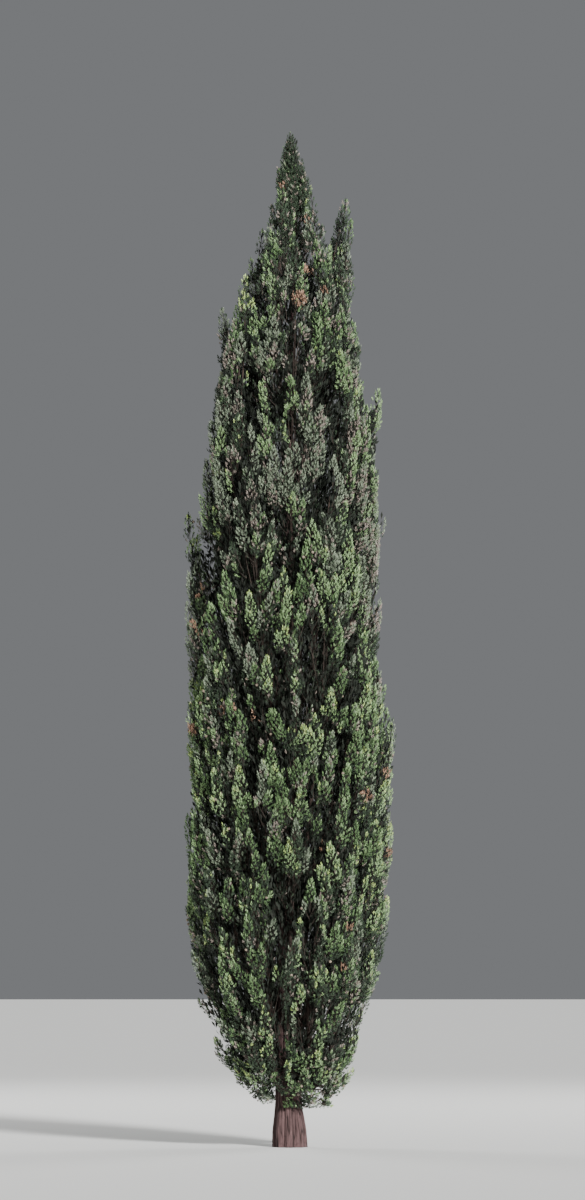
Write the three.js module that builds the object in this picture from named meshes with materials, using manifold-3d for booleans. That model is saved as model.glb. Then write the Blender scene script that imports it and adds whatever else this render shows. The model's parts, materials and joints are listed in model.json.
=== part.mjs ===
// A full-grown Italian cypress, about 10 m tall: one straight fluted trunk that runs up through the crown,
// steep boughs that rise close beside it, and the dense flame-shaped plumes of scale-leaf sprays that the
// boughs carry. Millimetres, +Z up. The origin is the middle of the flat cut at ground level, and azimuth 0
// is the tree's front, on -Y, with +90 degrees on +X.
import * as THREE from "three";
import { mergeVertices } from "three/addons/utils/BufferGeometryUtils.js";
import Module from "manifold-3d";

const wasm = await Module();
wasm.setup();

// ---------------------------------------------------------------- driving dimensions
const CLEARANCE = 0.3; // between limbs that meet end to end
const GOLDEN_TURN = THREE.MathUtils.degToRad(137.5);

// Height and radius of the trunk, from the root flare to the foot of the leading shoot.
const TRUNK_TOP = 8300;
const TRUNK_PROFILE = [
  [0, 158],
  [150, 152],
  [230, 141],
  [320, 130],
  [450, 118],
  [1600, 104],
  [4000, 80],
  [6800, 42],
  [TRUNK_TOP, 20],
];
const TRUNK_RINGS = 12;
const RING_CROWDING = 2.2; // power that crowds the trunk's rings towards the root flare
const TRUNK_SIDES = 24;
const TRUNK_FLUTES = 8;
const FLUTE_DEPTH = 0.1; // share of the radius at the ground
const FLUTE_FADE = 1500; // height over which the flutes die out
const TRUNK_SWAY = new THREE.Vector2(-24, 11);
const SWAY_PITCH = new THREE.Vector2(800, 1750);

// The crown's outline, from the lowest sprays to the tip: each height, and how far the crown reaches there on
// the left and on the right. The left foot hangs less low, and a flat side faces right at half its height.
const CROWN_PROFILE = [
  [380, 300, 440],
  [860, 740, 790],
  [1450, 980, 880],
  [1850, 1060, 1000],
  [3200, 1090, 1070],
  [4100, 1080, 1050],
  [4700, 1080, 950],
  [5500, 1070, 910],
  [6100, 1040, 1010],
  [7300, 890, 890],
  [8500, 610, 610],
  [9400, 270, 270],
  [10000, 60, 60],
];
const LOWEST_SPRAY = 375;

// The tiers of plumes, from the ground up. foot is the height where a plume's stem begins and footRadius its
// distance from the trunk's axis; tilt lifts it on the left and drops it on the right. rise is how far below
// the foot its bough leaves the trunk, and the skirt's stems leave the trunk themselves. footWidth is the
// least share of its half width that a plume has near its foot, coreFrom where along it the core begins, and
// spread the share of its length in which it comes out to the crown's outline. Each plume is an azimuth in
// degrees, its tip's height, and how far out the tip stands if that isn't at the crown's outline.
const TIERS = [
  {
    name: "skirt", foot: 680, tilt: 70, footRadius: 320, halfWidth: 410, boughRadius: 45,
    footWidth: 0.55, coreFrom: -0.035, spread: 0.17,
    plumes: [[29, 3350], [78, 4150], [128, 3500], [182, 3900], [235, 3300], [287, 4300], [337, 3050]],
  },
  {
    name: "lower", foot: 2000, footRadius: 400, rise: 1050, halfWidth: 390, boughRadius: 36,
    footWidth: 0.12, coreFrom: 0.07, spread: 0.42,
    plumes: [[3, 4850], [55, 5300], [100, 6250], [155, 5400], [208, 5000], [262, 6200], [311, 5250]],
  },
  {
    name: "middle", foot: 3400, footRadius: 390, rise: 1100, halfWidth: 390, boughRadius: 31,
    footWidth: 0.12, coreFrom: 0.07, spread: 0.42,
    plumes: [
      [29, 6650], [80, 7400, 930], [134, 6900], [182, 6600], [233, 7050], [284, 7450, 760], [336, 6950],
    ],
  },
  {
    name: "upper", foot: 5150, footRadius: 300, rise: 1100, halfWidth: 320, boughRadius: 24,
    footWidth: 0.12, coreFrom: 0.07, spread: 0.42,
    plumes: [[4, 8800], [61, 8700], [115, 8180], [158, 8350], [208, 8100], [258, 8250, 740], [308, 8500]],
  },
  {
    name: "crest", foot: 6950, footRadius: 190, rise: 850, halfWidth: 240, boughRadius: 16,
    footWidth: 0.12, coreFrom: 0.07, spread: 0.42,
    plumes: [[341, 9380], [42, 9360], [118, 9380, 640], [230, 9050]],
  },
];
const LEADER = {
  name: "leader", foot: TRUNK_TOP, footRadius: 0, halfWidth: 135, boughRadius: 33,
  footWidth: 0.3, coreFrom: 0.05, spread: 0.42, belly: 0.95, fullness: 0.5,
};
const TREE_HEIGHT = 10000;

// A plume is a flame: it swells above its foot, and tapers to its tip. The leader's is slimmer and fuller.
const FLAME_BELLY = 0.58; // power that sets how low a plume is widest
const FLAME_FULLNESS = 0.8; // power that rounds its sides out
const FOOT_SPAN = 0.3; // share of its length over which footWidth holds
const TIP_WIDTH = 0.12;
const OUTLINE_INSET = 0.92; // share of its half width that a stem stays inside the crown's outline
const LEAST_RADIUS = 20; // of a stem's way round the trunk's axis
const AXIS_STEPS = 32;
const EDGE_SLACK = 0.12; // share of the half width that a spray may stand out of its flame
const ROOM_GAP = 9; // kept free between one plume and the next
const LIMB_GAP = 14; // kept free between foliage and a limb that it doesn't grow on

const BOUGH_STEPS = 12;
const BOUGH_RING_EVERY = 4;
const BOUGH_SIDES = 5;
const BOUGH_BEND = 0.45; // share of a bough's length that it rises in line with the stem

// Shoots branch from a plume's stem by the golden angle, and each carries sprays. The first numbers are
// shares of the plume's length.
const SHOOTS = 5;
const FIRST_SHOOT = 0.03;
const SHOOTS_OVER = 0.6;
const SHOOT_STAGGER = 0.05;
const SHOOT_SPAN = 0.4;
const SHOOT_TWIST = 1.2; // how far chance turns a shoot, in radians
const SHOOT_OFFSET = 0.6; // share of the plume's half width
const SUNWARD = 0.45; // turns most shoots to the light, outside the tree
const SHOOT_RADIUS = 18;
const SPRAYS_ALONG = [0.45, 0.7, 0.93]; // where on its shoot each spray is rooted
const SPRAY_FAN = [0.4, 1]; // how far a spray turns off its shoot's facing, in radians
const SPRAY = { length: 470, width: 205, thickness: 92, belly: 0.4, lean: 0.3 };
const SIZES_TRIED = [1, 0.85, 0.7, 0.55];
const TOP_SIZES_TRIED = [...SIZES_TRIED, 0.42, 0.32];

// The stem runs up the middle of a plume, in a dense core.
const STEM_SHARE = 0.6; // of its bough's radius at the trunk
const STEM_TIP = 8;
const SKIRT_DIP = 60; // how far the skirt's stems rise from the trunk to their foot
const STEM_RINGS = [0, 0.25, 0.84, 0.97];
const STEM_SIDES = 5;
const CORE_SHARE = 0.84; // of the plume's half width
const CORE_LEAST = 22;
const CORE_STEP = 0.92; // by which a core is drawn in until it has room
const CORE_RINGS = 5;
const CORE_SIDES = 7;
const CORE_TO = 0.84;
const CORE_END = 0.04;
const CORE_PROBES = [[0, 0], [0.5, 0], [-0.5, 0], [0.25, 0.5], [0.25, -0.5], [-0.25, 0.5], [-0.25, -0.5]];

const BARK = new THREE.MeshStandardMaterial({ color: 0x75655c, roughness: 0.9, metalness: 0 });
const FOLIAGE = new THREE.MeshStandardMaterial({ color: 0x4d5f3a, roughness: 0.75, metalness: 0 });

// ---------------------------------------------------------------- small helpers

// A number from 0 to 1 that depends only on the keys, so that every twig keeps its place.
function chance(...keys) {
  let h = 0x811c9dc5;
  for (const key of keys) {
    h = Math.imul(h ^ (key + 1), 0x01000193);
    h ^= h >>> 13;
    h = Math.imul(h, 0x5bd1e995);
    h ^= h >>> 15;
  }
  return (h >>> 0) / 4294967296;
}

function along(profile, height, column = 1) {
  const last = profile.length - 1;
  if (height <= profile[0][0]) return profile[0][column];
  for (let i = 0; i < last; i++) {
    const low = profile[i];
    const high = profile[i + 1];
    if (height > high[0]) continue;
    return THREE.MathUtils.mapLinear(height, low[0], high[0], low[column], high[column]);
  }
  return profile[last][column];
}

// How far the crown reaches at a height, in the direction of an azimuth.
function crownRadius(height, azimuth) {
  const left = along(CROWN_PROFILE, height);
  const right = along(CROWN_PROFILE, height, 2);
  return THREE.MathUtils.lerp(left, right, (1 + Math.sin(azimuth)) / 2);
}

function outward(azimuth) {
  return new THREE.Vector3(Math.sin(azimuth), -Math.cos(azimuth), 0);
}

function trunkCentre(height) {
  const x = TRUNK_SWAY.x * Math.sin(height / SWAY_PITCH.x);
  const y = TRUNK_SWAY.y * Math.sin(height / SWAY_PITCH.y);
  return new THREE.Vector3(x, y, height);
}

// A closed solid through rings of equal count, closed at each end by a fan to one point.
function loft(rings, start, end) {
  const sides = rings[0].length;
  const points = [...rings.flat(), start, end];
  const faces = [];
  const first = points.length - 2;
  const last = points.length - 1;
  for (let i = 0; i < sides; i++) {
    const j = (i + 1) % sides;
    for (let k = 0; k + 1 < rings.length; k++) {
      const a = k * sides;
      faces.push([a + i, a + j, a + sides + j], [a + i, a + sides + j, a + sides + i]);
    }
    const top = (rings.length - 1) * sides;
    faces.push([first, j, i], [last, top + i, top + j]);
  }
  let volume = 0;
  for (const [a, b, c] of faces) {
    volume += points[a].dot(new THREE.Vector3().crossVectors(points[b], points[c]));
  }
  if (volume < 0) faces.forEach((face) => face.reverse());
  const geometry = new THREE.BufferGeometry().setFromPoints(points);
  geometry.setIndex(faces.flat());
  return geometry;
}

// A round limb along a path, with a radius for each of its points. An end can be given the way it faces.
function limb(path, radii, sides, startHeading, endHeading) {
  const last = path.length - 1;
  let across = new THREE.Vector3(1, 0, 0);
  const rings = path.map((point, k) => {
    const given = (k === 0 && startHeading) || (k === last && endHeading);
    const direction = given || path[Math.min(last, k + 1)].clone().sub(path[Math.max(0, k - 1)]).normalize();
    across = across.clone().projectOnPlane(direction).normalize();
    const other = new THREE.Vector3().crossVectors(direction, across);
    return Array.from({ length: sides }, (_, i) => {
      const turn = (2 * Math.PI * i) / sides;
      return point
        .clone()
        .addScaledVector(across, radii[k] * Math.cos(turn))
        .addScaledVector(other, radii[k] * Math.sin(turn));
    });
  });
  return loft(rings, path[0], path[last]);
}

function solidOf(geometry) {
  const bare = geometry.clone();
  bare.deleteAttribute("normal");
  bare.deleteAttribute("uv");
  const merged = mergeVertices(bare, 1e-3);
  const vertProperties = merged.attributes.position.array;
  const triVerts = new Uint32Array(merged.index.array);
  return new wasm.Manifold(new wasm.Mesh({ numProp: 3, vertProperties, triVerts }));
}

function geometryOf(solid) {
  const { vertProperties, triVerts } = solid.getMesh();
  const geometry = new THREE.BufferGeometry();
  geometry.setAttribute("position", new THREE.BufferAttribute(vertProperties, 3));
  geometry.setIndex(new THREE.BufferAttribute(triVerts, 1));
  geometry.computeVertexNormals();
  return geometry;
}

// The largest closed body of a solid: it leaves loose scraps out and fills a sealed hollow.
function wholeBody(solid) {
  return solid.decompose().reduce((best, body) => (body.volume() > best.volume() ? body : best));
}

// ---------------------------------------------------------------- trunk

function trunkRadius(height, azimuth) {
  const fade = Math.exp(-((height / FLUTE_FADE) ** 2));
  const flute = 1 + FLUTE_DEPTH * fade * Math.cos(TRUNK_FLUTES * azimuth);
  return along(TRUNK_PROFILE, height) * flute;
}

// extra swells the trunk, to make the cutter that keeps boughs and foliage off it.
function trunkGeometry(extra) {
  const rings = Array.from({ length: TRUNK_RINGS }, (_, k) => {
    const height = TRUNK_TOP * (k / (TRUNK_RINGS - 1)) ** RING_CROWDING;
    const centre = trunkCentre(height);
    return Array.from({ length: TRUNK_SIDES }, (_, i) => {
      const azimuth = (2 * Math.PI * i) / TRUNK_SIDES;
      return outward(azimuth).multiplyScalar(trunkRadius(height, azimuth) + extra).add(centre);
    });
  });
  return loft(rings, trunkCentre(0), trunkCentre(TRUNK_TOP));
}

// ---------------------------------------------------------------- plumes: where each one has its room

function flameWidth(plume, t) {
  const { belly = FLAME_BELLY, fullness = FLAME_FULLNESS } = plume;
  const bulge = t > 0 && t < 1 ? Math.sin(Math.PI * t ** belly) ** fullness : 0;
  return plume.halfWidth * Math.max(t < FOOT_SPAN ? plume.footWidth : TIP_WIDTH, bulge);
}

// The line of a plume's stem: out from its foot, then up just inside the crown's outline.
function stemPoint(plume, t) {
  const height = THREE.MathUtils.lerp(plume.foot, plume.tip, t);
  const outline = (plume.reach ?? crownRadius(height, plume.azimuth)) - OUTLINE_INSET * flameWidth(plume, t);
  const share = THREE.MathUtils.smoothstep(t, 0, plume.spread);
  const target = Math.max(LEAST_RADIUS, outline);
  const radius = plume.footRadius && THREE.MathUtils.lerp(plume.footRadius, target, share);
  return outward(plume.azimuth).multiplyScalar(radius).add(trunkCentre(height));
}

function makePlume(tier, [degrees, tip, reach], number) {
  const azimuth = THREE.MathUtils.degToRad(degrees);
  const foot = tier.foot - (tier.tilt ?? 0) * Math.sin(azimuth);
  const plume = { ...tier, foot, tip, reach, azimuth, number };
  plume.heading = stemPoint(plume, 0.02).sub(stemPoint(plume, 0)).normalize();
  plume.spheres = Array.from({ length: AXIS_STEPS + 1 }, (_, k) => {
    const t = k / AXIS_STEPS;
    return { centre: stemPoint(plume, t), radius: flameWidth(plume, t) };
  });
  return plume;
}

// How far a point lies outside a plume's flame; negative inside it.
function depthIn(plume, point) {
  return Math.min(...plume.spheres.map((s) => s.centre.distanceTo(point) - s.radius));
}

function clearOfLimb(bough, point) {
  return bough.path.every((p, k) => p.distanceTo(point) > bough.radii[k] + LIMB_GAP);
}

function clearOfTrunk(point) {
  if (point.z > TRUNK_TOP) return true;
  const radius = along(TRUNK_PROFILE, point.z) * (1 + FLUTE_DEPTH) + LIMB_GAP;
  return trunkCentre(point.z).distanceTo(point) > radius;
}

// A point is a plume's own if its flame holds it more deeply than any other, and no limb is near.
function hasRoom(plume, point) {
  const mine = depthIn(plume, point);
  if (mine > EDGE_SLACK * plume.halfWidth || point.z < LOWEST_SPRAY) return false;
  if (!clearOfTrunk(point) || !boughs.every((bough) => clearOfLimb(bough, point))) return false;
  return plumes.every((other) => other === plume || depthIn(other, point) > mine + ROOM_GAP);
}

const plumes = TIERS.flatMap((tier, k) =>
  tier.plumes.map((row, i) => makePlume(tier, row, 10 * k + i)),
);
const leader = makePlume(LEADER, [0, TREE_HEIGHT], 10 * TIERS.length);
leader.heading.set(0, 0, 1);
plumes.push(leader);

// ---------------------------------------------------------------- boughs

// A bough leaves the trunk and bends up into the line of its plume's stem.
function makeBough(plume) {
  const foot = stemPoint(plume, 0);
  const root = trunkCentre(plume.foot - plume.rise);
  const bend = foot.clone().addScaledVector(plume.heading, -BOUGH_BEND * foot.distanceTo(root));
  const curve = new THREE.QuadraticBezierCurve3(root, bend, foot);
  const path = curve.getPoints(BOUGH_STEPS);
  const radii = path.map((_, k) => {
    return plume.boughRadius * THREE.MathUtils.lerp(1, STEM_SHARE, k / BOUGH_STEPS);
  });
  return { plume, path, radii };
}

const boughs = plumes.filter((plume) => plume.rise).map(makeBough);

// extra swells the bough and lengthens its tip, to make the cutter that keeps foliage off it.
function boughSolid(bough, extra) {
  const path = bough.path.filter((_, k) => k % BOUGH_RING_EVERY === 0);
  const radii = bough.radii.filter((_, k) => k % BOUGH_RING_EVERY === 0).map((radius) => radius + extra);
  path.push(path.pop().clone().addScaledVector(bough.plume.heading, extra));
  return solidOf(limb(path, radii, BOUGH_SIDES, undefined, bough.plume.heading));
}

const trunkCutter = solidOf(trunkGeometry(CLEARANCE));
const limbCutter = boughs.reduce((cutter, bough) => cutter.add(boughSolid(bough, CLEARANCE)), trunkCutter);

// ---------------------------------------------------------------- foliage

// How wide the core can be at one point of a plume's stem, towards one side.
function roomAt(plume, t, azimuth) {
  const centre = stemPoint(plume, t);
  let radius = CORE_SHARE * flameWidth(plume, t);
  while (radius > CORE_LEAST && !hasRoom(plume, centre.clone().addScaledVector(outward(azimuth), radius))) {
    radius *= CORE_STEP;
  }
  return radius;
}

// The dense middle of a plume. Each corner takes the least room found half a face around it, so that the
// faces between the corners keep to the room too.
function coreGeometry(plume) {
  const step = (CORE_TO - plume.coreFrom) / (CORE_RINGS - 1);
  const turn = (2 * Math.PI) / CORE_SIDES;
  const rings = Array.from({ length: CORE_RINGS }, (_, k) => {
    const t = plume.coreFrom + k * step;
    return Array.from({ length: CORE_SIDES }, (_, i) => {
      const azimuth = plume.azimuth + i * turn;
      const around = CORE_PROBES.map(([up, side]) => {
        return roomAt(plume, Math.max(plume.coreFrom, t + up * step), azimuth + side * turn);
      });
      return stemPoint(plume, t).addScaledVector(outward(azimuth), Math.min(...around));
    });
  });
  return loft(rings, stemPoint(plume, plume.coreFrom - CORE_END), stemPoint(plume, CORE_TO + CORE_END));
}

// The stem takes over from its bough's tip, or the leader's from the trunk's, and thins to a twig. The
// skirt's stems begin inside the trunk instead, and are cut at its face.
function stemGeometry(plume) {
  const path = STEM_RINGS.map((t) => stemPoint(plume, t));
  const radii = STEM_RINGS.map((t) => THREE.MathUtils.lerp(STEM_SHARE * plume.boughRadius, STEM_TIP, t));
  path[0].addScaledVector(plume.heading, CLEARANCE);
  if (plume.rise || plume === leader) return limb(path, radii, STEM_SIDES, plume.heading);
  path.unshift(trunkCentre(plume.foot - SKIRT_DIP));
  radii.unshift(plume.boughRadius);
  return limb(path, radii, STEM_SIDES);
}

// A three-sided twig that thins to a point.
function twigGeometry(from, to, radius) {
  const direction = to.clone().sub(from).normalize();
  const across = new THREE.Vector3(1, 0, 0).projectOnPlane(direction).normalize();
  const ring = [0, 1, 2].map((i) => {
    const arm = across.clone().applyAxisAngle(direction, (2 * Math.PI * i) / 3);
    return from.clone().addScaledVector(arm, radius);
  });
  return loft([ring], from, to);
}

function shootsOf(plume) {
  return Array.from({ length: SHOOTS }, (_, k) => {
    const turn = (k * GOLDEN_TURN + SHOOT_TWIST * chance(plume.number, k, 1)) % (2 * Math.PI);
    const side = turn > Math.PI ? turn - 2 * Math.PI : turn;
    const from = FIRST_SHOOT + (SHOOTS_OVER * k) / SHOOTS + SHOOT_STAGGER * chance(plume.number, k, 2);
    const azimuth = plume.azimuth + side * (SUNWARD + (1 - SUNWARD) * (Math.abs(side) / Math.PI));
    const offset = SHOOT_OFFSET * flameWidth(plume, from + SHOOT_SPAN);
    const tip = stemPoint(plume, from + SHOOT_SPAN).addScaledVector(outward(azimuth), offset);
    return { azimuth, start: stemPoint(plume, from), tip };
  });
}

// A spray is a flat blade with eight faces that grows along a direction and is broadside to its facing.
function sprayPoints(root, direction, facing, size) {
  const side = outward(facing + Math.PI / 2);
  const flat = new THREE.Vector3().crossVectors(direction, side);
  const reach = (distance, across, out) => {
    const point = root.clone().addScaledVector(direction, distance);
    return point.addScaledVector(side, across).addScaledVector(flat, out);
  };
  const belly = SPRAY.belly * size * SPRAY.length;
  const half = 0.5 * size * SPRAY.width;
  const thick = 0.5 * size * SPRAY.thickness;
  const corners = [[half, 0], [0, thick], [-half, 0], [0, -thick]];
  const ring = corners.map(([across, out]) => reach(belly, across, out));
  return { root, ring, tip: reach(size * SPRAY.length, 0, 0) };
}

// The first spray whose points all keep to its plume's room, if one does.
function withRoom(plume, sprays) {
  return sprays.find((spray) => [spray.tip, ...spray.ring].every((point) => hasRoom(plume, point)));
}

// The spray that ends at a plume's tip. A smaller one is rooted higher up.
function topSpray(plume, size) {
  const root = stemPoint(plume, 1 - (size * SPRAY.length) / (plume.tip - plume.foot));
  return sprayPoints(root, stemPoint(plume, 1).sub(root).normalize(), plume.azimuth, size);
}

function foliageGeometry(plume) {
  const pieces = [coreGeometry(plume), stemGeometry(plume)];
  const grow = (sprays) => {
    const spray = withRoom(plume, sprays);
    if (spray) pieces.push(loft([spray.ring], spray.root, spray.tip));
  };
  shootsOf(plume).forEach((shoot, k) => {
    if (!hasRoom(plume, shoot.tip)) return;
    pieces.push(twigGeometry(shoot.start, shoot.tip, SHOOT_RADIUS));
    SPRAYS_ALONG.forEach((share, i) => {
      const root = shoot.start.clone().lerp(shoot.tip, share);
      const fan = THREE.MathUtils.lerp(...SPRAY_FAN, chance(plume.number, k, 10 + i));
      const facing = shoot.azimuth + (i % 2 ? fan : -fan);
      const direction = outward(facing).multiplyScalar(Math.sin(SPRAY.lean)).setZ(Math.cos(SPRAY.lean));
      grow(SIZES_TRIED.map((size) => sprayPoints(root, direction, facing, size)));
    });
  });
  grow(TOP_SIZES_TRIED.map((size) => topSpray(plume, size)));
  const fused = pieces.map(solidOf).reduce((whole, piece) => whole.add(piece));
  return geometryOf(wholeBody(fused.subtract(limbCutter)));
}

// ---------------------------------------------------------------- the tree

const tree = new THREE.Group();

function nodeName(plume, kind) {
  return plume === leader ? `leader_${kind}` : `${plume.name}_${kind}_${(plume.number % 10) + 1}`;
}

function addNode(name, geometry, material) {
  const mesh = new THREE.Mesh(geometry, material);
  mesh.name = name;
  tree.add(mesh);
}

addNode("trunk", trunkGeometry(0), BARK);
boughs.forEach((bough) => {
  const cutClear = boughSolid(bough, 0).subtract(trunkCutter);
  addNode(nodeName(bough.plume, "bough"), geometryOf(wholeBody(cutClear)), BARK);
});
plumes.forEach((plume) => addNode(nodeName(plume, "plume"), foliageGeometry(plume), FOLIAGE));

export default tree;
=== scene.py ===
# %% [markdown]
# # A full-grown Italian cypress
# A columnar cypress is one straight trunk with dozens of steep boughs held close to it. Each bough carries a
# plume of foliage shaped like a flame, and the plumes overlap like feathers. This lesson dresses a measured
# model of such a tree. The model's plain solids already have the true height, outline and gaps, so nothing
# here is moved or resized: every bough, twig and spray is grown again inside the room of its own solid.

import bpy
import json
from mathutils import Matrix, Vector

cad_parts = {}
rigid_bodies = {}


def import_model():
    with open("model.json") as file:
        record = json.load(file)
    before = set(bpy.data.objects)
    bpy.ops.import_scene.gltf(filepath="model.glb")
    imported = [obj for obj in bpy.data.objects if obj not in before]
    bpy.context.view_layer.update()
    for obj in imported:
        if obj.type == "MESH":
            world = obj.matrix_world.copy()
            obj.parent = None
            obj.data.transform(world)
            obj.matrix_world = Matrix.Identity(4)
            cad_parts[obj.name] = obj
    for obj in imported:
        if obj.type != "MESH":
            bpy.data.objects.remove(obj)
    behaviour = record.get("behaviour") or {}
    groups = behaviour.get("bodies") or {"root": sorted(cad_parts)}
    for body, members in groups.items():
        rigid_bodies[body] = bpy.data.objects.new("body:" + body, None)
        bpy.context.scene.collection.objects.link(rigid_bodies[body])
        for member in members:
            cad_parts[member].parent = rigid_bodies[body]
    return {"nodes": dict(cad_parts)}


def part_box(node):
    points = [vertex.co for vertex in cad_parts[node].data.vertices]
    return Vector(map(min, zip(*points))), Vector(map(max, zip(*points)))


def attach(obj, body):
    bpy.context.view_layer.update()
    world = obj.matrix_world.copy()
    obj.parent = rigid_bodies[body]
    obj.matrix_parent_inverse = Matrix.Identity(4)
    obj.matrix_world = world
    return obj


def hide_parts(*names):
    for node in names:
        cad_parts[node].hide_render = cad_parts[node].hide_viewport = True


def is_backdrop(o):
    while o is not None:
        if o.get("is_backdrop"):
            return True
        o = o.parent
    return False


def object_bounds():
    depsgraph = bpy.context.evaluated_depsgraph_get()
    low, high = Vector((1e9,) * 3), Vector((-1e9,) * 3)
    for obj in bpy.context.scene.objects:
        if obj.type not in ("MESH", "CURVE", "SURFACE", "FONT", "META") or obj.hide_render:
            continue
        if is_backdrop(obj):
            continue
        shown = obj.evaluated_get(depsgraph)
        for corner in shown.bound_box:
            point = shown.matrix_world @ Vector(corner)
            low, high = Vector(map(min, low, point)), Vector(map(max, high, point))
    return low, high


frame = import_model()
model_low, model_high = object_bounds()
print("the measured model is", [round(side, 3) for side in model_high - model_low], "m")

# %% Tools for arrays
import json
import math
from types import SimpleNamespace

import bpy
import numpy as np
from mathutils import Vector

UP = np.array([0.0, 0.0, 1.0])
EAST = np.array([1.0, 0.0, 0.0])
FULL_TURN = 2 * math.pi
GOLDEN_TURN = math.radians(137.5)


def unit(vectors):
    """The same directions, one metre long."""
    return vectors / np.linalg.norm(vectors, axis=-1, keepdims=True)


def lerp(start, end, share):
    return start + (end - start) * share


def smoothstep(value, low, high):
    """Rises softly from 0 at low to 1 at high. Low may be the larger of the two."""
    share = np.clip((value - low) / (high - low), 0, 1)
    return share * share * (3 - 2 * share)


def along(profile, height, column=1):
    """Reads a list of rows, each a height and what holds there, at any height."""
    rows = np.array(profile)
    return np.interp(height, rows[:, 0], rows[:, column])


def outward(azimuth):
    """The level direction at an azimuth: 0 is the tree's front, on -Y, and a quarter turn is +X."""
    azimuth = np.asarray(azimuth, float)
    return np.stack([np.sin(azimuth), -np.cos(azimuth), np.zeros_like(azimuth)], axis=-1)


def square_to(heading, facing):
    """Two directions square to each heading. The first turns as far as it can to the given side."""
    front = unit(facing - (facing * heading).sum(-1, keepdims=True) * heading)
    return front, np.cross(heading, front)


def chance(*keys):
    """A number from 0 to 1 that depends only on the keys, so that every shoot keeps its place."""
    mixed = 0x811C9DC5
    for key in keys:
        mixed = ((mixed ^ (key + 1)) * 0x01000193) & 0xFFFFFFFF
        mixed ^= mixed >> 13
        mixed = (mixed * 0x5BD1E995) & 0xFFFFFFFF
        mixed ^= mixed >> 15
    return mixed / 2**32


# %% [markdown]
# ## The rule that the tree grows by
# Real cypresses look alike because each grows by one habit: boughs leave the trunk at a steep angle, and
# every branch turns a golden angle from the one below it. The solids were made by that habit, so the same
# rule and the same sizes are written again here, in metres. A list of ready positions would also work, but
# a rule can be carried on to finer twigs, which is what the next steps do.

# %% The sizes of trunk and crown
TREE_TOP = 10.0
TRUNK_TOP = 8.3
TRUNK_PROFILE = [
    (0, 0.158), (0.15, 0.152), (0.23, 0.141), (0.32, 0.130), (0.45, 0.118),
    (1.6, 0.104), (4.0, 0.080), (6.8, 0.042), (TRUNK_TOP, 0.020),
]
TRUNK_FLUTES = 8
FLUTE_DEPTH = 0.1  # share of the radius at the ground
FLUTE_FADE = 1.5  # height over which the flutes die out
SWAY = (-0.024, 0.011)
SWAY_PITCH = (0.8, 1.75)
# Each height, and how far the crown reaches there on the left and on the right.
CROWN_PROFILE = [
    (0.38, 0.30, 0.44), (0.86, 0.74, 0.79), (1.45, 0.98, 0.88), (1.85, 1.06, 1.00), (3.2, 1.09, 1.07),
    (4.1, 1.08, 1.05), (4.7, 1.08, 0.95), (5.5, 1.07, 0.91), (6.1, 1.04, 1.01), (7.3, 0.89, 0.89),
    (8.5, 0.61, 0.61), (9.4, 0.27, 0.27), (TREE_TOP, 0.06, 0.06),
]
LOWEST_SPRAY = 0.375
USUAL_HALF_WIDTH = 0.39  # of a plume
USUAL_LENGTH = 3.5


def trunk_centre(height):
    """The trunk sways a little on its way up."""
    height = np.asarray(height, float)
    x = SWAY[0] * np.sin(height / SWAY_PITCH[0])
    y = SWAY[1] * np.sin(height / SWAY_PITCH[1])
    return np.stack([x, y, height], axis=-1)


def crown_radius(height, azimuth):
    """How far the crown reaches at a height, in the direction of an azimuth."""
    left, right = along(CROWN_PROFILE, height), along(CROWN_PROFILE, height, 2)
    return lerp(left, right, (1 + np.sin(azimuth)) / 2)


def place_in_crown(points):
    """The level way from the trunk's middle out to each point, its length, and the crown's reach there."""
    offset = points - trunk_centre(points[:, 2])
    reach = crown_radius(points[:, 2], np.arctan2(offset[:, 0], -offset[:, 1]))
    return offset, np.hypot(offset[:, 0], offset[:, 1]), reach


print("trunk", 2000 * along(TRUNK_PROFILE, 0), "mm at the ground, crown", 2 * crown_radius(3.2, 0), "m wide")

# %% The plumes, tier by tier
# Each plume is an azimuth in degrees, the height of its tip and, if it stands apart, how far out it reaches.
TIERS = [
    dict(
        name="skirt", foot=0.68, tilt=0.07, foot_radius=0.32, rise=0, half_width=0.41, bough_radius=0.045,
        foot_width=0.55, spread=0.17,
        plumes=[(29, 3.35), (78, 4.15), (128, 3.5), (182, 3.9), (235, 3.3), (287, 4.3), (337, 3.05)],
    ),
    dict(
        name="lower", foot=2.0, foot_radius=0.4, rise=1.05, half_width=USUAL_HALF_WIDTH, bough_radius=0.036,
        plumes=[(3, 4.85), (55, 5.3), (100, 6.25), (155, 5.4), (208, 5.0), (262, 6.2), (311, 5.25)],
    ),
    dict(
        name="middle", foot=3.4, foot_radius=0.39, rise=1.1, half_width=USUAL_HALF_WIDTH, bough_radius=0.031,
        plumes=[
            (29, 6.65), (80, 7.4, 0.93), (134, 6.9), (182, 6.6), (233, 7.05), (284, 7.45, 0.76), (336, 6.95),
        ],
    ),
    dict(
        name="upper", foot=5.15, foot_radius=0.3, rise=1.1, half_width=0.32, bough_radius=0.024,
        plumes=[
            (4, 8.8), (61, 8.7), (115, 8.18), (158, 8.35), (208, 8.1), (258, 8.25, 0.74), (308, 8.5),
        ],
    ),
    dict(
        name="crest", foot=6.95, foot_radius=0.19, rise=0.85, half_width=0.24, bough_radius=0.016,
        plumes=[(341, 9.38), (42, 9.36), (118, 9.38, 0.64), (230, 9.05)],
    ),
    dict(
        name="leader", foot=TRUNK_TOP, foot_radius=0, rise=0, half_width=0.135, bough_radius=0.033,
        foot_width=0.3, belly=0.95, fullness=0.5,
        plumes=[(0, TREE_TOP)],
    ),
]

# %% [markdown]
# ## The room of each plume
# A plume swells above its foot and tapers to its tip, like a flame. A row of balls along its stem describes
# that shape well: the distance to the nearest ball says how deep inside the plume a point lies. It is a
# cheap test that works on thousands of twigs at once, where a test against real meshes would be slow.

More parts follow.
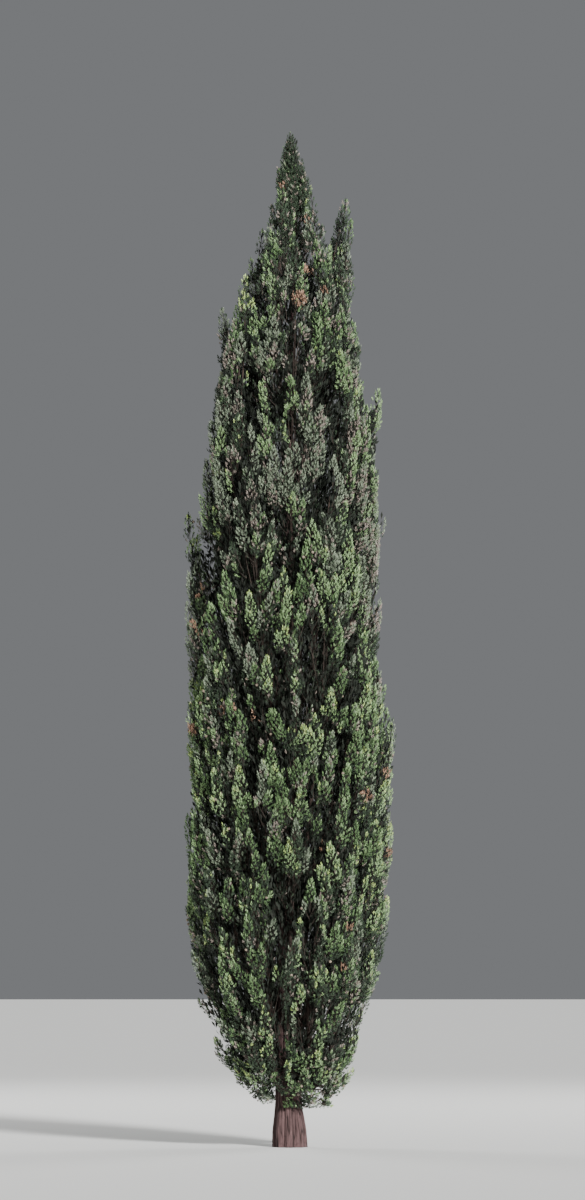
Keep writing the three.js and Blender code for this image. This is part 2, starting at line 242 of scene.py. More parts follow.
# %% Stems and flames
FLAME_BELLY = 0.58  # power that sets how low a plume is widest
FLAME_FULLNESS = 0.8  # power that rounds its sides out
FOOT_SPAN = 0.3
FOOT_WIDTH = 0.12  # least width of the foot and of the tip, as shares of the widest part
TIP_WIDTH = 0.12
SPREAD = 0.42  # share of a plume's length over which its stem swings out
OUTLINE_INSET = 0.92
LEAST_RADIUS = 0.02
BALLS = 33


def flame_width(plume, t):
    """Half the width of a plume at a share t of its length."""
    t = np.asarray(t, float)
    inner = np.clip(t, 0, 1)
    bulge = np.sin(np.pi * inner**plume.belly).clip(0) ** plume.fullness
    return plume.half_width * np.maximum(np.where(t < FOOT_SPAN, plume.foot_width, TIP_WIDTH), bulge)


def stem_point(plume, t):
    """A plume's stem goes out from its foot, then up just inside the crown's outline."""
    t = np.asarray(t, float)
    height = lerp(plume.foot, plume.tip, t)
    outline = plume.reach or crown_radius(height, plume.azimuth)
    target = np.maximum(LEAST_RADIUS, outline - OUTLINE_INSET * flame_width(plume, t))
    radius = lerp(plume.foot_radius, target, smoothstep(t, 0, plume.spread)) if plume.foot_radius else 0 * t
    return outward(plume.azimuth) * radius[..., None] + trunk_centre(height)


def make_plume(tier, tier_number, index, row):
    """One plume with its balls, and the name of the solid whose room it fills."""
    values = {key: value for key, value in tier.items() if key != "plumes"}
    usual = dict(belly=FLAME_BELLY, fullness=FLAME_FULLNESS, foot_width=FOOT_WIDTH, spread=SPREAD, tilt=0)
    plume = SimpleNamespace(**{**usual, **values})
    plume.azimuth = math.radians(row[0])
    plume.foot -= plume.tilt * math.sin(plume.azimuth)
    plume.tip = row[1]
    plume.reach = row[2] if len(row) > 2 else None
    plume.number = 10 * tier_number + index
    plume.node = "leader_plume" if plume.name == "leader" else f"{plume.name}_plume_{index + 1}"
    steps = np.linspace(0, 1, BALLS)
    plume.centres = stem_point(plume, steps)
    plume.radii = flame_width(plume, steps)
    plume.length = plume.tip - plume.foot
    plume.slimness = plume.half_width / USUAL_HALF_WIDTH
    return plume


plumes = [make_plume(tier, k, i, row) for k, tier in enumerate(TIERS) for i, row in enumerate(tier["plumes"])]
slimness = np.array([plume.slimness for plume in plumes])
worst_tip = max(abs(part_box(plume.node)[1][2] - plume.tip) for plume in plumes)
print(len(plumes), "plumes; their solids' tips are within", round(1000 * worst_tip), "mm of the rule's")


def depths(points, swell):
    """How far each point lies outside each plume's flame, when that is swelled; negative inside it."""
    table = np.empty((len(points), len(plumes)))
    for column, plume in enumerate(plumes):
        gaps = np.linalg.norm(points[:, None] - plume.centres, axis=2) - swell * plume.radii
        table[:, column] = gaps.min(axis=1)
    return table


# %% [markdown]
# ## Pieces made from arrays
# A crown holds hundreds of thousands of small blades, so they aren't separate objects. Their corners are
# worked out as one long array, and one call hands that array to Blender as a single mesh. Geometry Nodes
# could scatter them as instances, but the rule of this tree is easier to follow in plain arithmetic.

# %% From arrays to a piece
def add_piece(name, points, faces, smooth=False):
    """A mesh object from an array of points and an array of faces of equal corner count."""
    mesh = bpy.data.meshes.new(name)
    mesh.vertices.add(len(points))
    mesh.vertices.foreach_set("co", np.asarray(points, np.float32).ravel())
    mesh.loops.add(faces.size)
    mesh.loops.foreach_set("vertex_index", faces.astype(np.int32).ravel())
    mesh.polygons.add(len(faces))
    mesh.polygons.foreach_set("loop_start", np.arange(len(faces), dtype=np.int32) * faces.shape[1])
    mesh.polygons.foreach_set("use_smooth", np.full(len(faces), smooth))
    mesh.update(calc_edges=True)
    piece = bpy.data.objects.new(name, mesh)
    bpy.context.collection.objects.link(piece)
    print(f"{name}: {len(faces) * (faces.shape[1] - 2)} triangles")
    return piece


def joined(parts):
    """Joins (points, faces) pairs into one pair."""
    offsets = np.cumsum([0] + [len(points) for points, _ in parts[:-1]])
    points = np.concatenate([points for points, _ in parts])
    return points, np.concatenate([faces + offset for (_, faces), offset in zip(parts, offsets)])


def ring_faces(rows, columns):
    """The four-sided faces between rows of a closed tube."""
    corner = np.arange(rows * columns).reshape(rows, columns)
    turned = np.roll(corner, -1, axis=1)
    return np.stack([corner[:-1], turned[:-1], turned[1:], corner[1:]], axis=-1).reshape(-1, 4)


def tube(path, radii, sides, knots=0.0, seed=0):
    """A limb along a path, roughened by a share of its radius (knots). Its last ring closes to a point."""
    heading = unit(np.gradient(path, axis=0))
    across, other = square_to(heading, EAST)
    turn = np.linspace(0, FULL_TURN, sides, endpoint=False)[None, :, None]
    rough = 1 + knots * np.random.default_rng(seed).uniform(-1, 1, (len(path), sides, 1))
    rough[-1] = 0.05
    arms = across[:, None] * np.cos(turn) + other[:, None] * np.sin(turn)
    points = path[:, None] + arms * rough * np.asarray(radii)[:, None, None]
    return points.reshape(-1, 3), ring_faces(len(path), sides)


# %% [markdown]
# ## The trunk and its bark
# The bark of an Italian cypress is thin and fibrous. It splits into long narrow strips with shallow furrows
# between them, and the wood under it swells into a few rounded flutes with sharp valleys. The furrows are a
# few millimetres deep, deep enough to break the outline and catch real shadows, so they are modelled in the
# mesh instead of being left to a bump map. The lowest part, which shows, gets the closest rows.

# %% The relief of the bark
STRIP_WIDTH = 0.017  # between one furrow and the next
STRIP_LENGTH = 0.24
FURROW_DEPTH = 0.006
FIBRE_DEPTH = 0.0012
FLUTE_WANDER = 0.10  # radians that a flute strays on its way up


def grain(azimuth, height, around, pitch, seed):
    """Smooth noise from -1 to 1 on the trunk. Its cells go around times into a turn and are pitch tall."""
    rows = math.ceil(TRUNK_TOP / pitch) + 2
    lattice = np.random.default_rng(seed).uniform(-1, 1, (rows, around))
    u = (azimuth / FULL_TURN * around) % around
    v = height / pitch
    i = np.floor(u).astype(int) % around
    j = np.floor(v).astype(int)
    across = smoothstep(u - np.floor(u), 0, 1)
    up = smoothstep(v - np.floor(v), 0, 1)
    low = lerp(lattice[j, i], lattice[j, (i + 1) % around], across)
    high = lerp(lattice[j + 1, i], lattice[j + 1, (i + 1) % around], across)
    return lerp(low, high, up)


def furrow(noise, width):
    """1 along the lines where a noise crosses zero, fading to 0 within the width."""
    return np.exp(-((noise / width) ** 2))


strips_around = round(FULL_TURN * TRUNK_PROFILE[2][1] / STRIP_WIDTH)
columns = 320
fine_rows = np.arange(0, 0.72, 0.005)
coarse_rows = 0.72 + (TRUNK_TOP - 0.72) * np.linspace(0, 1, 110) ** 1.3
row_heights = np.concatenate([fine_rows, coarse_rows])
azimuth, height = np.meshgrid(np.linspace(0, FULL_TURN, columns, endpoint=False), row_heights)

wander = FLUTE_WANDER * grain(azimuth, height, 6, 0.45, 3) * smoothstep(height, 0, 0.25)
lobes = 2 * np.abs(np.cos(TRUNK_FLUTES / 2 * (azimuth + wander))) ** 0.8 - 1
fade = np.exp(-((height / FLUTE_FADE) ** 2))
lean_of_strips = 0.35 * grain(azimuth, height, 9, 0.3, 4) * STRIP_WIDTH / TRUNK_PROFILE[2][1]
split = grain(azimuth + lean_of_strips, height, strips_around, STRIP_LENGTH, 5)
crack = grain(azimuth + lean_of_strips, height, 2 * strips_around, STRIP_LENGTH / 3, 6)
fibre = grain(azimuth, height, 5 * strips_around, STRIP_LENGTH / 4, 7)
flake = grain(azimuth, height, strips_around, STRIP_LENGTH / 2, 8)
groove = np.clip(furrow(split, 0.16) + 0.45 * furrow(crack, 0.12), 0, 1)
relief = 0.0025 * flake - FURROW_DEPTH * groove + FIBRE_DEPTH * fibre
thickness = np.clip(along(TRUNK_PROFILE, height) / TRUNK_PROFILE[0][1], 0.15, 1)
radius = along(TRUNK_PROFILE, height) * (1 + FLUTE_DEPTH * fade * lobes) + relief * thickness

trunk_points = outward(azimuth) * radius[..., None] + trunk_centre(height)
side_points = trunk_points.reshape(-1, 3)
trunk_faces = ring_faces(len(row_heights), columns)
trunk_bark = add_piece("trunk_bark", side_points, trunk_faces, smooth=True)

# %% Close the cut and keep the grooves for the finish
import bmesh

sculpt = bmesh.new()
sculpt.from_mesh(trunk_bark.data)
bmesh.ops.holes_fill(sculpt, edges=[edge for edge in sculpt.edges if edge.is_boundary], sides=0)
sculpt.to_mesh(trunk_bark.data)
sculpt.free()
grooves = trunk_bark.data.attributes.new("groove", "FLOAT", "POINT")
grooves.data.foreach_set("value", groove.ravel().astype(np.float32))
print("the trunk's mesh has", len(trunk_bark.data.polygons), "faces after its cut is closed")

# %% [markdown]
# ## Boughs and stems
# A bough leaves the trunk low, bends up beside it, and runs on as the stem of its plume. The trunk and the
# bough are one growth on the real tree, so the bough starts inside the trunk and no seam shows.

# %% Boughs
STEM_SHARE = 0.6  # of a bough's radius, where its plume begins
STEM_TIP = 0.004
STEM_INSET = 0.4  # share of the plume's half width by which the wood lies nearer to the trunk
STEM_END = 0.88
BOUGH_BEND = 0.45  # share of a bough's length that it rises in line with the stem
BOUGH_STEPS = 24
STEM_STEPS = 30
SKIRT_DIP = 0.06
BOUGH_SIDES = 12


def bezier(curves, share):
    """Points and headings at a share of each curve, or at one of all. A curve is three control points."""
    share = np.asarray(share, float)[..., None]
    start, middle, end = curves[..., 0, :], curves[..., 1, :], curves[..., 2, :]
    point = (1 - share) ** 2 * start + 2 * share * (1 - share) * middle + share**2 * end
    return point, unit((1 - share) * (middle - start) + share * (end - middle))


def limb_of(plume):
    """The path and radii of one bough with its stem."""
    foot = stem_point(plume, 0)
    shares = np.linspace(0.02, STEM_END, STEM_STEPS)
    inset = STEM_INSET * smoothstep(shares, 0.05, 0.4) * flame_width(plume, shares)
    stem = stem_point(plume, shares) - outward(plume.azimuth) * inset[:, None]
    stem_radii = lerp(STEM_SHARE * plume.bough_radius, STEM_TIP, shares)
    if not plume.rise:
        root = trunk_centre(plume.foot - SKIRT_DIP)
        radii = np.concatenate([[plume.bough_radius, stem_radii[0]], stem_radii])
        return np.vstack([root, foot, stem]), radii
    root = trunk_centre(plume.foot - plume.rise)
    heading = unit(stem_point(plume, 0.02) - foot)
    bend = foot - heading * BOUGH_BEND * np.linalg.norm(foot - root)
    steps = np.linspace(0, 1, BOUGH_STEPS)
    rise, _ = bezier(np.stack([root, bend, foot])[None], steps)
    rise_radii = plume.bough_radius * lerp(1, STEM_SHARE, steps)
    return np.vstack([rise, stem]), np.concatenate([rise_radii, stem_radii])


limbs = [tube(*limb_of(plume), BOUGH_SIDES, knots=0.09, seed=plume.number) for plume in plumes]
bough_bark = add_piece("bough_bark", *joined(limbs), smooth=True)

# %% [markdown]
# ## Shoots
# Along each stem, shoots branch by the golden angle and curve up to the light. Most turn to the outside of
# the tree, where the sun is. The solids have five shoots to a plume. Here another stands between each pair,
# some more reach into the valleys on its two sides, and one leads on to the plume's very tip. Short ones
# round off its foot.

# %% Shoots
SHOOTS = 5
BETWEEN = 2  # shoots here for each one in the solids
FIRST_SHOOT = 0.03
SHOOTS_OVER = 0.6
SHOOT_STAGGER = 0.05
SHOOT_SPAN = 0.4
SHOOT_TWIST = 1.2
SHOOT_OFFSET = 0.4  # deeper than in the solids, because sprigs stand out from the shoots here
SIDE_SHOOTS = 6  # on a plume's two sides in turn
SIDES_OVER = (0.06, 0.6)
SIDE_SPAN = 0.32
SIDE_TURN = 1.3  # radians from the plume's own azimuth
SIDE_OFFSET = 0.8
SIDE_FACING = 0.4  # radians that its sprigs turn aside
SUNWARD = 0.45  # turns most shoots to the light
LOW_SUNWARD = 0.8
LAST_SHARE = 0.97
LEADING_SHARES = (0.62, 0.8)
LEADING_GAP = 0.06  # metres between the leading shoot and the plume's tip
# Low shoots: how many, the first and last share of the stem that they leave from, how far out and how far up
# they reach, and the size of their sprigs.
SKIRT_FOOT = (14, -0.05, 0.06, (0.14, 0.30), (-0.16, 0.30), 0.5)
OTHER_FEET = (7, 0.0, 0.16, (0.28, 0.50), (0.25, 0.45), 0.9)


def sunward(turn, pull=SUNWARD):
    """Bends a turn away from the shaded side. Turns and results are in radians."""
    side = (turn + np.pi) % FULL_TURN - np.pi
    return side * (pull + (1 - pull) * np.abs(side) / np.pi)


def shoot_curve(plume, start_share, end_share, azimuth, offset):
    """A shoot leaves the stem sideways and then rises."""
    start = stem_point(plume, start_share)
    end = stem_point(plume, end_share) + outward(azimuth) * offset * flame_width(plume, end_share)
    middle = start + (end - start) * np.array([0.75, 0.75, 0.4])
    return np.stack([start, middle, end])


def shoots_of(plume):
    """(curve, azimuth, vigour) for every shoot of a plume."""
    shoots = []
    for k in range(SHOOTS):
        for extra in range(BETWEEN):
            key = k + 100 * extra
            turn = k * GOLDEN_TURN + extra * FULL_TURN / BETWEEN + SHOOT_TWIST * chance(plume.number, key, 1)
            place = SHOOTS_OVER * (k + extra / BETWEEN) / SHOOTS
            start = FIRST_SHOOT + place + SHOOT_STAGGER * chance(plume.number, key, 2)
            azimuth = plume.azimuth + sunward(turn)
            end = min(start + SHOOT_SPAN, LAST_SHARE)
            shoots.append((shoot_curve(plume, start, end, azimuth, SHOOT_OFFSET), azimuth, 1.0))
    for k in range(SIDE_SHOOTS):
        side = 1 if k % 2 else -1
        start = lerp(*SIDES_OVER, k / (SIDE_SHOOTS - 1))
        curve = shoot_curve(plume, start, start + SIDE_SPAN, plume.azimuth + SIDE_TURN * side, SIDE_OFFSET)
        shoots.append((curve, plume.azimuth + SIDE_FACING * side, 1.0))
    leading = stem_point(plume, np.array([*LEADING_SHARES, 1 - LEADING_GAP / plume.length]))
    return [*shoots, (leading, plume.azimuth, 1.0)]


def low_shoots(plume):
    """Short shoots round a plume's foot. On the skirt they round off the crown, and the first ones droop."""
    shoots = []
    count, first, last, reaches, climbs, vigour = SKIRT_FOOT if plume.name == "skirt" else OTHER_FEET
    for k in range(count):
        share = k / (count - 1)
        start = stem_point(plume, lerp(first, last, share))
        turn = k * GOLDEN_TURN + SHOOT_TWIST * chance(plume.number, k, 3)
        azimuth = plume.azimuth + sunward(turn, LOW_SUNWARD)
        climb = lerp(*climbs, share) + 0.08 * chance(plume.number, k, 5)
        end = start + outward(azimuth) * lerp(*reaches, chance(plume.number, k, 4)) + UP * climb
        middle = start + (end - start) * np.array([0.6, 0.6, 0.9 if climb < 0 else 0.3])
        shoots.append((np.stack([start, middle, end]), azimuth, vigour))
    return shoots


shoot_rows = []
for index, plume in enumerate(plumes):
    shoot_rows += [(*row, index) for row in shoots_of(plume) + low_shoots(plume)]
values = [np.array(column) for column in zip(*shoot_rows)]
shoots = SimpleNamespace(**dict(zip(("curves", "azimuths", "vigour", "plume"), values)))
print(len(shoots.curves), "shoots")

# %% [markdown]
# ## Hollows
# Where a bough died or two plumes part, the crown has a dark hollow. They matter as much as the leaves do,
# because they are what shows how deep the crown is. So nothing grows in them.

# %% Hollows in the crown
# Each is an azimuth in degrees, a height, half a width and half a height, before the scale below. Those on
# the tree's front are listed one by one, the rest placed by chance.
HOLLOWS = [
    (-13, 8.55, 0.04, 0.10), (21, 8.38, 0.04, 0.10), (-31, 8.20, 0.04, 0.14), (-3, 8.05, 0.08, 0.12),
    (4, 7.72, 0.08, 0.16), (-10, 7.30, 0.09, 0.20), (-43, 7.45, 0.06, 0.12), (27, 7.30, 0.05, 0.16),
    (3, 6.95, 0.05, 0.14), (36, 6.88, 0.10, 0.07), (-28, 6.72, 0.06, 0.14), (-38, 6.40, 0.07, 0.20),
    (25, 6.29, 0.08, 0.16), (-2, 5.95, 0.08, 0.15), (-40, 5.85, 0.06, 0.16), (-26, 5.52, 0.10, 0.15),
    (-31, 4.95, 0.06, 0.20), (16, 4.76, 0.15, 0.30), (8, 4.22, 0.05, 0.14), (-21, 4.15, 0.07, 0.20),
    (12, 3.38, 0.05, 0.17), (40, 3.40, 0.06, 0.15), (-18, 3.12, 0.06, 0.12), (10, 3.00, 0.05, 0.12),
    (-27, 2.74, 0.07, 0.14), (14, 1.98, 0.07, 0.28), (-31, 1.95, 0.05, 0.16), (15, 1.16, 0.09, 0.22),
]
HOLLOW_SCALE = 1.35
HOLLOW_DEPTH = 0.38
# The notch over the trunk keeps its own size and goes all the way in, so that the limbs inside show.
NOTCH = (-7, 1.0, 0.055, 0.62)
SIDE_HOLLOWS = 46
hollow_rng = np.random.default_rng(11)
for _ in range(SIDE_HOLLOWS):
    row = (
        hollow_rng.uniform(55, 305), hollow_rng.uniform(1.0, 8.4),
        hollow_rng.uniform(0.04, 0.075), hollow_rng.uniform(0.09, 0.19),
    )
    HOLLOWS.append(row)


def in_hollow(points):
    """True for the points inside any hollow."""
    inside = np.zeros(len(points), bool)
    for row in [*HOLLOWS, NOTCH]:
        degrees, level, half_width, half_height = row
        azimuth = math.radians(degrees)
        out = outward(azimuth)
        across = np.cross(out, UP)
        offset = points - (out * crown_radius(level, azimuth) + trunk_centre(level))
        scale, depth = (1, crown_radius(level, azimuth)) if row is NOTCH else (HOLLOW_SCALE, HOLLOW_DEPTH)
        shares = offset @ across / half_width / scale, offset @ UP / half_height / scale, offset @ out / depth
        inside |= sum(share**2 for share in shares) < 1
    return inside


# %% [markdown]
# ## Sprigs and lobes
# A shoot bears sprigs that lean out to the light. The foliage round a sprig fills a small flame, about
# 0.3 m wide and 0.7 m tall, with a point at its top and shade under it. Inside that flame stand dense
# upright lobes, about a hand wide. Far more could grow than there is room for, so the outermost are chosen
# first and each next one has to keep its distance, the way that light thins out real shoots.

# %% Room for foliage
CROWN_INSET = 0.035  # foliage stops this far inside the crown's outline, as the solids' twigs do
TIP_REACH = 0.02  # how far the crown's very point reaches
TIP_FLARE = 0.16  # how much it widens for each metre down
OVERLAP = 0.14  # how far the foliage of two plumes may mingle
ROOM_TO_SPARE = 0.14  # beyond a plume's own flame, so that no valley stays bare


def has_room(points, plume_index, swell=1.5, inset=CROWN_INSET, overlap=OVERLAP):
    """True where a point keeps to its plume's room and to the crown's outline."""
    table = depths(points, swell)
    mine = table[np.arange(len(points)), plume_index]
    table[np.arange(len(points)), plume_index] = np.inf
    keep = (mine < ROOM_TO_SPARE * slimness[plume_index]) & (table.min(axis=1) > mine - overlap)
    keep &= (points[:, 2] > LOWEST_SPRAY) & (points[:, 2] < TREE_TOP)
    _, out_by, edge = place_in_crown(points)
    reaches = np.array([plume.reach or 0 for plume in plumes])[plume_index]
    outline = np.where(reaches > 0, reaches + CROWN_INSET, edge) - inset
    outline = np.maximum(outline, TIP_REACH + TIP_FLARE * (TREE_TOP - points[:, 2]).clip(0, 1))
    return keep & (out_by < outline)


# %% Branches, and the choice between them
CUTS = (0.55, 0.7, 0.85, 1.0)  # a branch is cut to the longest of these shares that has room
SHORTEST, LONGEST = 0.7, 1.3  # how far chance changes a length
BEND = 0.4  # share of a branch's length that it runs straight, before it curls up


def branch(parents, faces_to, count, first, leans, lengths, scale, curl, rng):
    """Grows count branches on each parent curve.

    faces_to is each parent's sunward side. leans and lengths are pairs, for the first branch and the last.
    """
    n = len(parents)
    order = np.tile(np.arange(count), n)
    parent = np.repeat(np.arange(n), count)
    share = lerp(first, 1.0, (order + rng.uniform(-0.35, 0.35, n * count)) / (count - 1)).clip(first, 1)
    root, heading = bezier(parents[parent], share)
    front, side = square_to(heading, faces_to[parent])
    turn = sunward(order * GOLDEN_TURN + rng.uniform(0, FULL_TURN, n)[parent], 0.7)[:, None]
    away = front * np.cos(turn) + side * np.sin(turn)
    lean = np.radians(lerp(*leans, share) * rng.uniform(0.75, 1.25, n * count))[:, None]
    length = (lerp(*lengths, share) * scale[parent] * rng.uniform(SHORTEST, LONGEST, n * count))[:, None]
    start = unit(heading * np.cos(lean) + away * np.sin(lean))
    middle = root + BEND * length * start
    tip = middle + (1 - BEND) * length * unit(start + curl * UP)
    return SimpleNamespace(curves=np.stack([root, middle, tip], axis=1), parent=parent)


def picked(branches, keep):
    """Only the branches to keep."""
    return SimpleNamespace(**{key: value[keep] for key, value in vars(branches).items()})


def put_first(leaders, branches):
    """The leaders, then the branches. Both have the same values."""
    values = {key: np.concatenate([vars(leaders)[key], value]) for key, value in vars(branches).items()}
    return SimpleNamespace(**values)


EDGE_GAP = 0.025  # between a branch and the limit of the foliage
INSIDE = 0.7  # how many half widths deeper its middle lies than its end
HANGING = (0.3, 1.0)  # below these heights branches hang against the outline


def cut_to_fit(branches, has_place):
    """Cuts each branch to the longest part whose middle and end have room, and drops it if none has.

    has_place is one more test, of points and their parents, or None.
    """
    longest = np.zeros(len(branches.plume))
    for cut in CUTS:
        keep = ~in_hollow(bezier(branches.curves, cut)[0])
        for share, depth in ((0.5 * cut, INSIDE), (cut, 0.0)):
            points, _ = bezier(branches.curves, share)
            inner = smoothstep(points[:, 2], *HANGING) * (EDGE_GAP + depth * branches.radius)
            keep &= has_room(points, branches.plume, inset=CROWN_INSET + inner)
            if has_place:
                keep &= has_place(points, branches.parent)
        longest[keep] = cut
    ends, _ = bezier(branches.curves, longest)
    middles = lerp(branches.curves[:, 0], branches.curves[:, 1], longest[:, None])
    branches.curves = np.stack([branches.curves[:, 0], middles, ends], axis=1)
    branches.radius = branches.radius * longest**0.5
    return picked(branches, longest > 0)


def lit(branches, spacing, leaders):
    """Chooses the first few, which lead, then from the outermost in every branch that keeps its distance.

    spacing is the least distance round the tree, up it and into it, in half widths of a branch.
    """
    middles, _ = bezier(branches.curves, 0.5)
    offset, out_by, edge = place_in_crown(middles)
    branches.out = offset / out_by[:, None]
    places = np.column_stack([branches.out[:, :2] * edge[:, None], middles[:, 2], out_by])
    places /= np.array([spacing[0], *spacing])
    light = out_by - edge
    light[:leaders] += 10  # more than any branch has
    taken = np.zeros(len(places), bool)
    for one in np.argsort(-light):
        gaps = np.linalg.norm(places[taken] - places[one], axis=1)
        taken[one] = (gaps > (branches.radius[taken] + branches.radius[one]) / 2).all()
    return picked(branches, taken)


def grown(name, parents, leaders, rng, spacing, radius, swing, has_place=None, **habit):
    """The leaders and, of what branches from the parents, all that has room and light.

    radius is half a branch's width on each parent, and swing is how far chance changes it.
    """
    branches = branch(parents.curves, rng=rng, **habit)
    branches.plume = parents.plume[branches.parent]
    branches.radius = radius[branches.parent] * rng.uniform(*swing, len(branches.plume))
    branches = cut_to_fit(branches, has_place)
    print(len(branches.plume), name, "could grow")
    branches = lit(put_first(leaders, branches), spacing, len(leaders.plume))
    print(len(branches.plume), name, "get light")
    return branches


# %% Sprigs
SPRIGS_PER_SHOOT = 14
SPRIG_WIDTH = 0.15  # half of the flame round a sprig, on the widest plumes
SPRIG_LENGTHS = (0.80, 0.60)
SPRIG_LEANS = (36, 5)
SPRIG_SPACING = (1.2, 2.5, 2.6)
sprig_rng = np.random.default_rng(20)
sprig_scale = slimness**0.8
leading = SimpleNamespace(
    curves=np.array([
        stem_point(plume, 1 - np.array([0.6 * scale, 0.3 * scale, 0.02]) / plume.length)
        for plume, scale in zip(plumes, sprig_scale)
    ]),
    parent=np.arange(len(plumes)), plume=np.arange(len(plumes)), radius=SPRIG_WIDTH * sprig_scale,
)
sprigs = grown(
    "sprigs", shoots, leading, sprig_rng, SPRIG_SPACING,
    radius=SPRIG_WIDTH * sprig_scale[shoots.plume] * shoots.vigour**0.5, swing=(0.65, 1.2),
    scale=sprig_scale[shoots.plume] * shoots.vigour, faces_to=outward(shoots.azimuths),
    count=SPRIGS_PER_SHOOT, first=0.1, leans=SPRIG_LEANS, lengths=SPRIG_LENGTHS, curl=1.4,
)
sprigs.tint = sprig_rng.uniform(0, 1, len(sprigs.plume))

# %% Lobes
LOBES_PER_SPRIG = 22
LOBE_WIDTH = 0.052  # half a lobe's width
LOBE_LENGTHS = (0.30, 0.24)
LOBE_LEANS = (38, 6)
LOBE_SPACING = (1.15, 2.3, 3.4)
SPRIG_BELLY = 0.55
SPRIG_FULLNESS = 0.75
SPRIG_BALLS = 9
ball_shares = np.linspace(0.02, 0.98, SPRIG_BALLS)
ball_widths = np.sin(np.pi * ball_shares**SPRIG_BELLY) ** SPRIG_FULLNESS


def in_sprig(points, sprig):
    """True where a point lies in the flame round its sprig."""
    near = np.zeros(len(points), bool)
    for share, width in zip(ball_shares, ball_widths):
        centre, _ = bezier(sprigs.curves[sprig], share)
        near |= np.linalg.norm(points - centre, axis=1) < 0.02 + width * sprigs.radius[sprig]
    return near


lobe_rng = np.random.default_rng(21)
lobe_scale = sprig_scale[sprigs.plume] ** 0.4
sprig_spans = np.linalg.norm(sprigs.curves[:, 2] - sprigs.curves[:, 0], axis=1)
top = LOBE_LENGTHS[0] * lobe_scale / sprig_spans
leading_points = [bezier(sprigs.curves, (1 - top * part).clip(0, 1))[0] for part in (1, 0.5, 0)]
leading = SimpleNamespace(
    curves=np.stack(leading_points, axis=1),
    parent=np.arange(len(sprigs.plume)), plume=sprigs.plume, radius=LOBE_WIDTH * lobe_scale,
)
lobes = grown(
    "lobes", sprigs, leading, lobe_rng, LOBE_SPACING,
    radius=LOBE_WIDTH * lobe_scale, swing=(0.75, 1.25), has_place=in_sprig, scale=lobe_scale,
    faces_to=sprigs.out, count=LOBES_PER_SPRIG, first=0.05, leans=LOBE_LEANS, lengths=LOBE_LENGTHS, curl=1.2,
)
lobes.tint = sprigs.tint[lobes.parent]

# %% [markdown]
# ## Tufts
# Under the rounded surface of a lobe, cord-like twiglets covered in scale leaves branch from its twig, and
# end in small tufts. Only those near the surface show, so the tufts are set out over the surface by the
# golden angle, each on a twiglet that comes from the lobe's own twig. Deep in the crown only a few are
# kept.

# %% Tufts over the lobes
LOBE_BELLY = 0.62
LOBE_FULLNESS = 0.6
TUFT_SIZE = 0.043
TUFT_GAP = 0.036  # from one tuft to the next
TUFT_RISE = 0.2  # share of the lobe that a twiglet climbs from its root to its tuft
TUFT_UPRIGHT = 0.9  # how strongly a tuft turns up
TUFTS_SUNWARD = 0.62
DEEP_INSIDE = 0.25  # this far in from the crown's outline, fewer tufts live
LEFT_INSIDE = 0.12  # the share of them that does
TOP_SIZE = 0.6  # the size of the last tufts under the very top


def over_lobes(gap, cover, rng):
    """Places over every lobe's surface, or inside it where cover is less than 1."""
    span = np.linalg.norm(lobes.curves[:, 2] - lobes.curves[:, 0], axis=1)
    counts = np.ceil(2.9 * cover * lobes.radius * span / gap**2).astype(int)
    lobe = np.repeat(np.arange(len(counts)), counts)
    order = np.arange(len(lobe)) - np.repeat(np.cumsum(counts) - counts, counts)
    share = lerp(0.05, 1.0, (order + rng.uniform(0, 1, len(lobe))) / counts[lobe])
    centre, heading = bezier(lobes.curves[lobe], share)
    front, side = square_to(heading, lobes.out[lobe])
    turn = sunward(order * GOLDEN_TURN + rng.uniform(0, FULL_TURN, len(counts))[lobe], TUFTS_SUNWARD)[:, None]
    away = front * np.cos(turn) + side * np.sin(turn)
    width = np.sin(np.pi * share**LOBE_BELLY).clip(0) ** LOBE_FULLNESS * rng.uniform(0.8, 1.1, len(lobe))
    tip = centre + away * (cover * width * lobes.radius[lobe])[:, None]
    root, _ = bezier(lobes.curves[lobe], (share - TUFT_RISE).clip(0, 1))
    rising = unit(unit(tip - root + 1e-6 * UP) + TUFT_UPRIGHT * unit(heading + UP))
    return SimpleNamespace(lobe=lobe, share=share, root=root, tip=tip, away=away, heading=rising)


tuft_rng = np.random.default_rng(22)
tufts = over_lobes(TUFT_GAP, 1.0, tuft_rng)
tufts.plume = lobes.plume[tufts.lobe]
_, out_by, edge = place_in_crown(tufts.tip)
tufts.covered = edge - out_by
keep = has_room(tufts.tip, tufts.plume, swell=1.7, overlap=0.12, inset=0.015) & ~in_hollow(tufts.tip)
keep &= (tufts.covered < DEEP_INSIDE) | (tuft_rng.uniform(0, 1, len(keep)) < LEFT_INSIDE)
tufts = picked(tufts, keep)
tufts.size = TUFT_SIZE * tuft_rng.uniform(0.8, 1.2, len(tufts.lobe))
tufts.size *= lerp(1, TOP_SIZE, smoothstep(tufts.tip[:, 2], TREE_TOP - 0.5, TREE_TOP))
print(len(tufts.lobe), "tufts")

# %% [markdown]
# ## Twigs
# Shoots and lobes are woody inside. A shoot is a slim round stick that tapers, a lobe's twig is a few
# millimetres thick, and the twiglet of a tuft is a thread. They are seen only in glimpses, so shoots get
# five sides, a twig gets three and a point, and a thread is a single sliver.

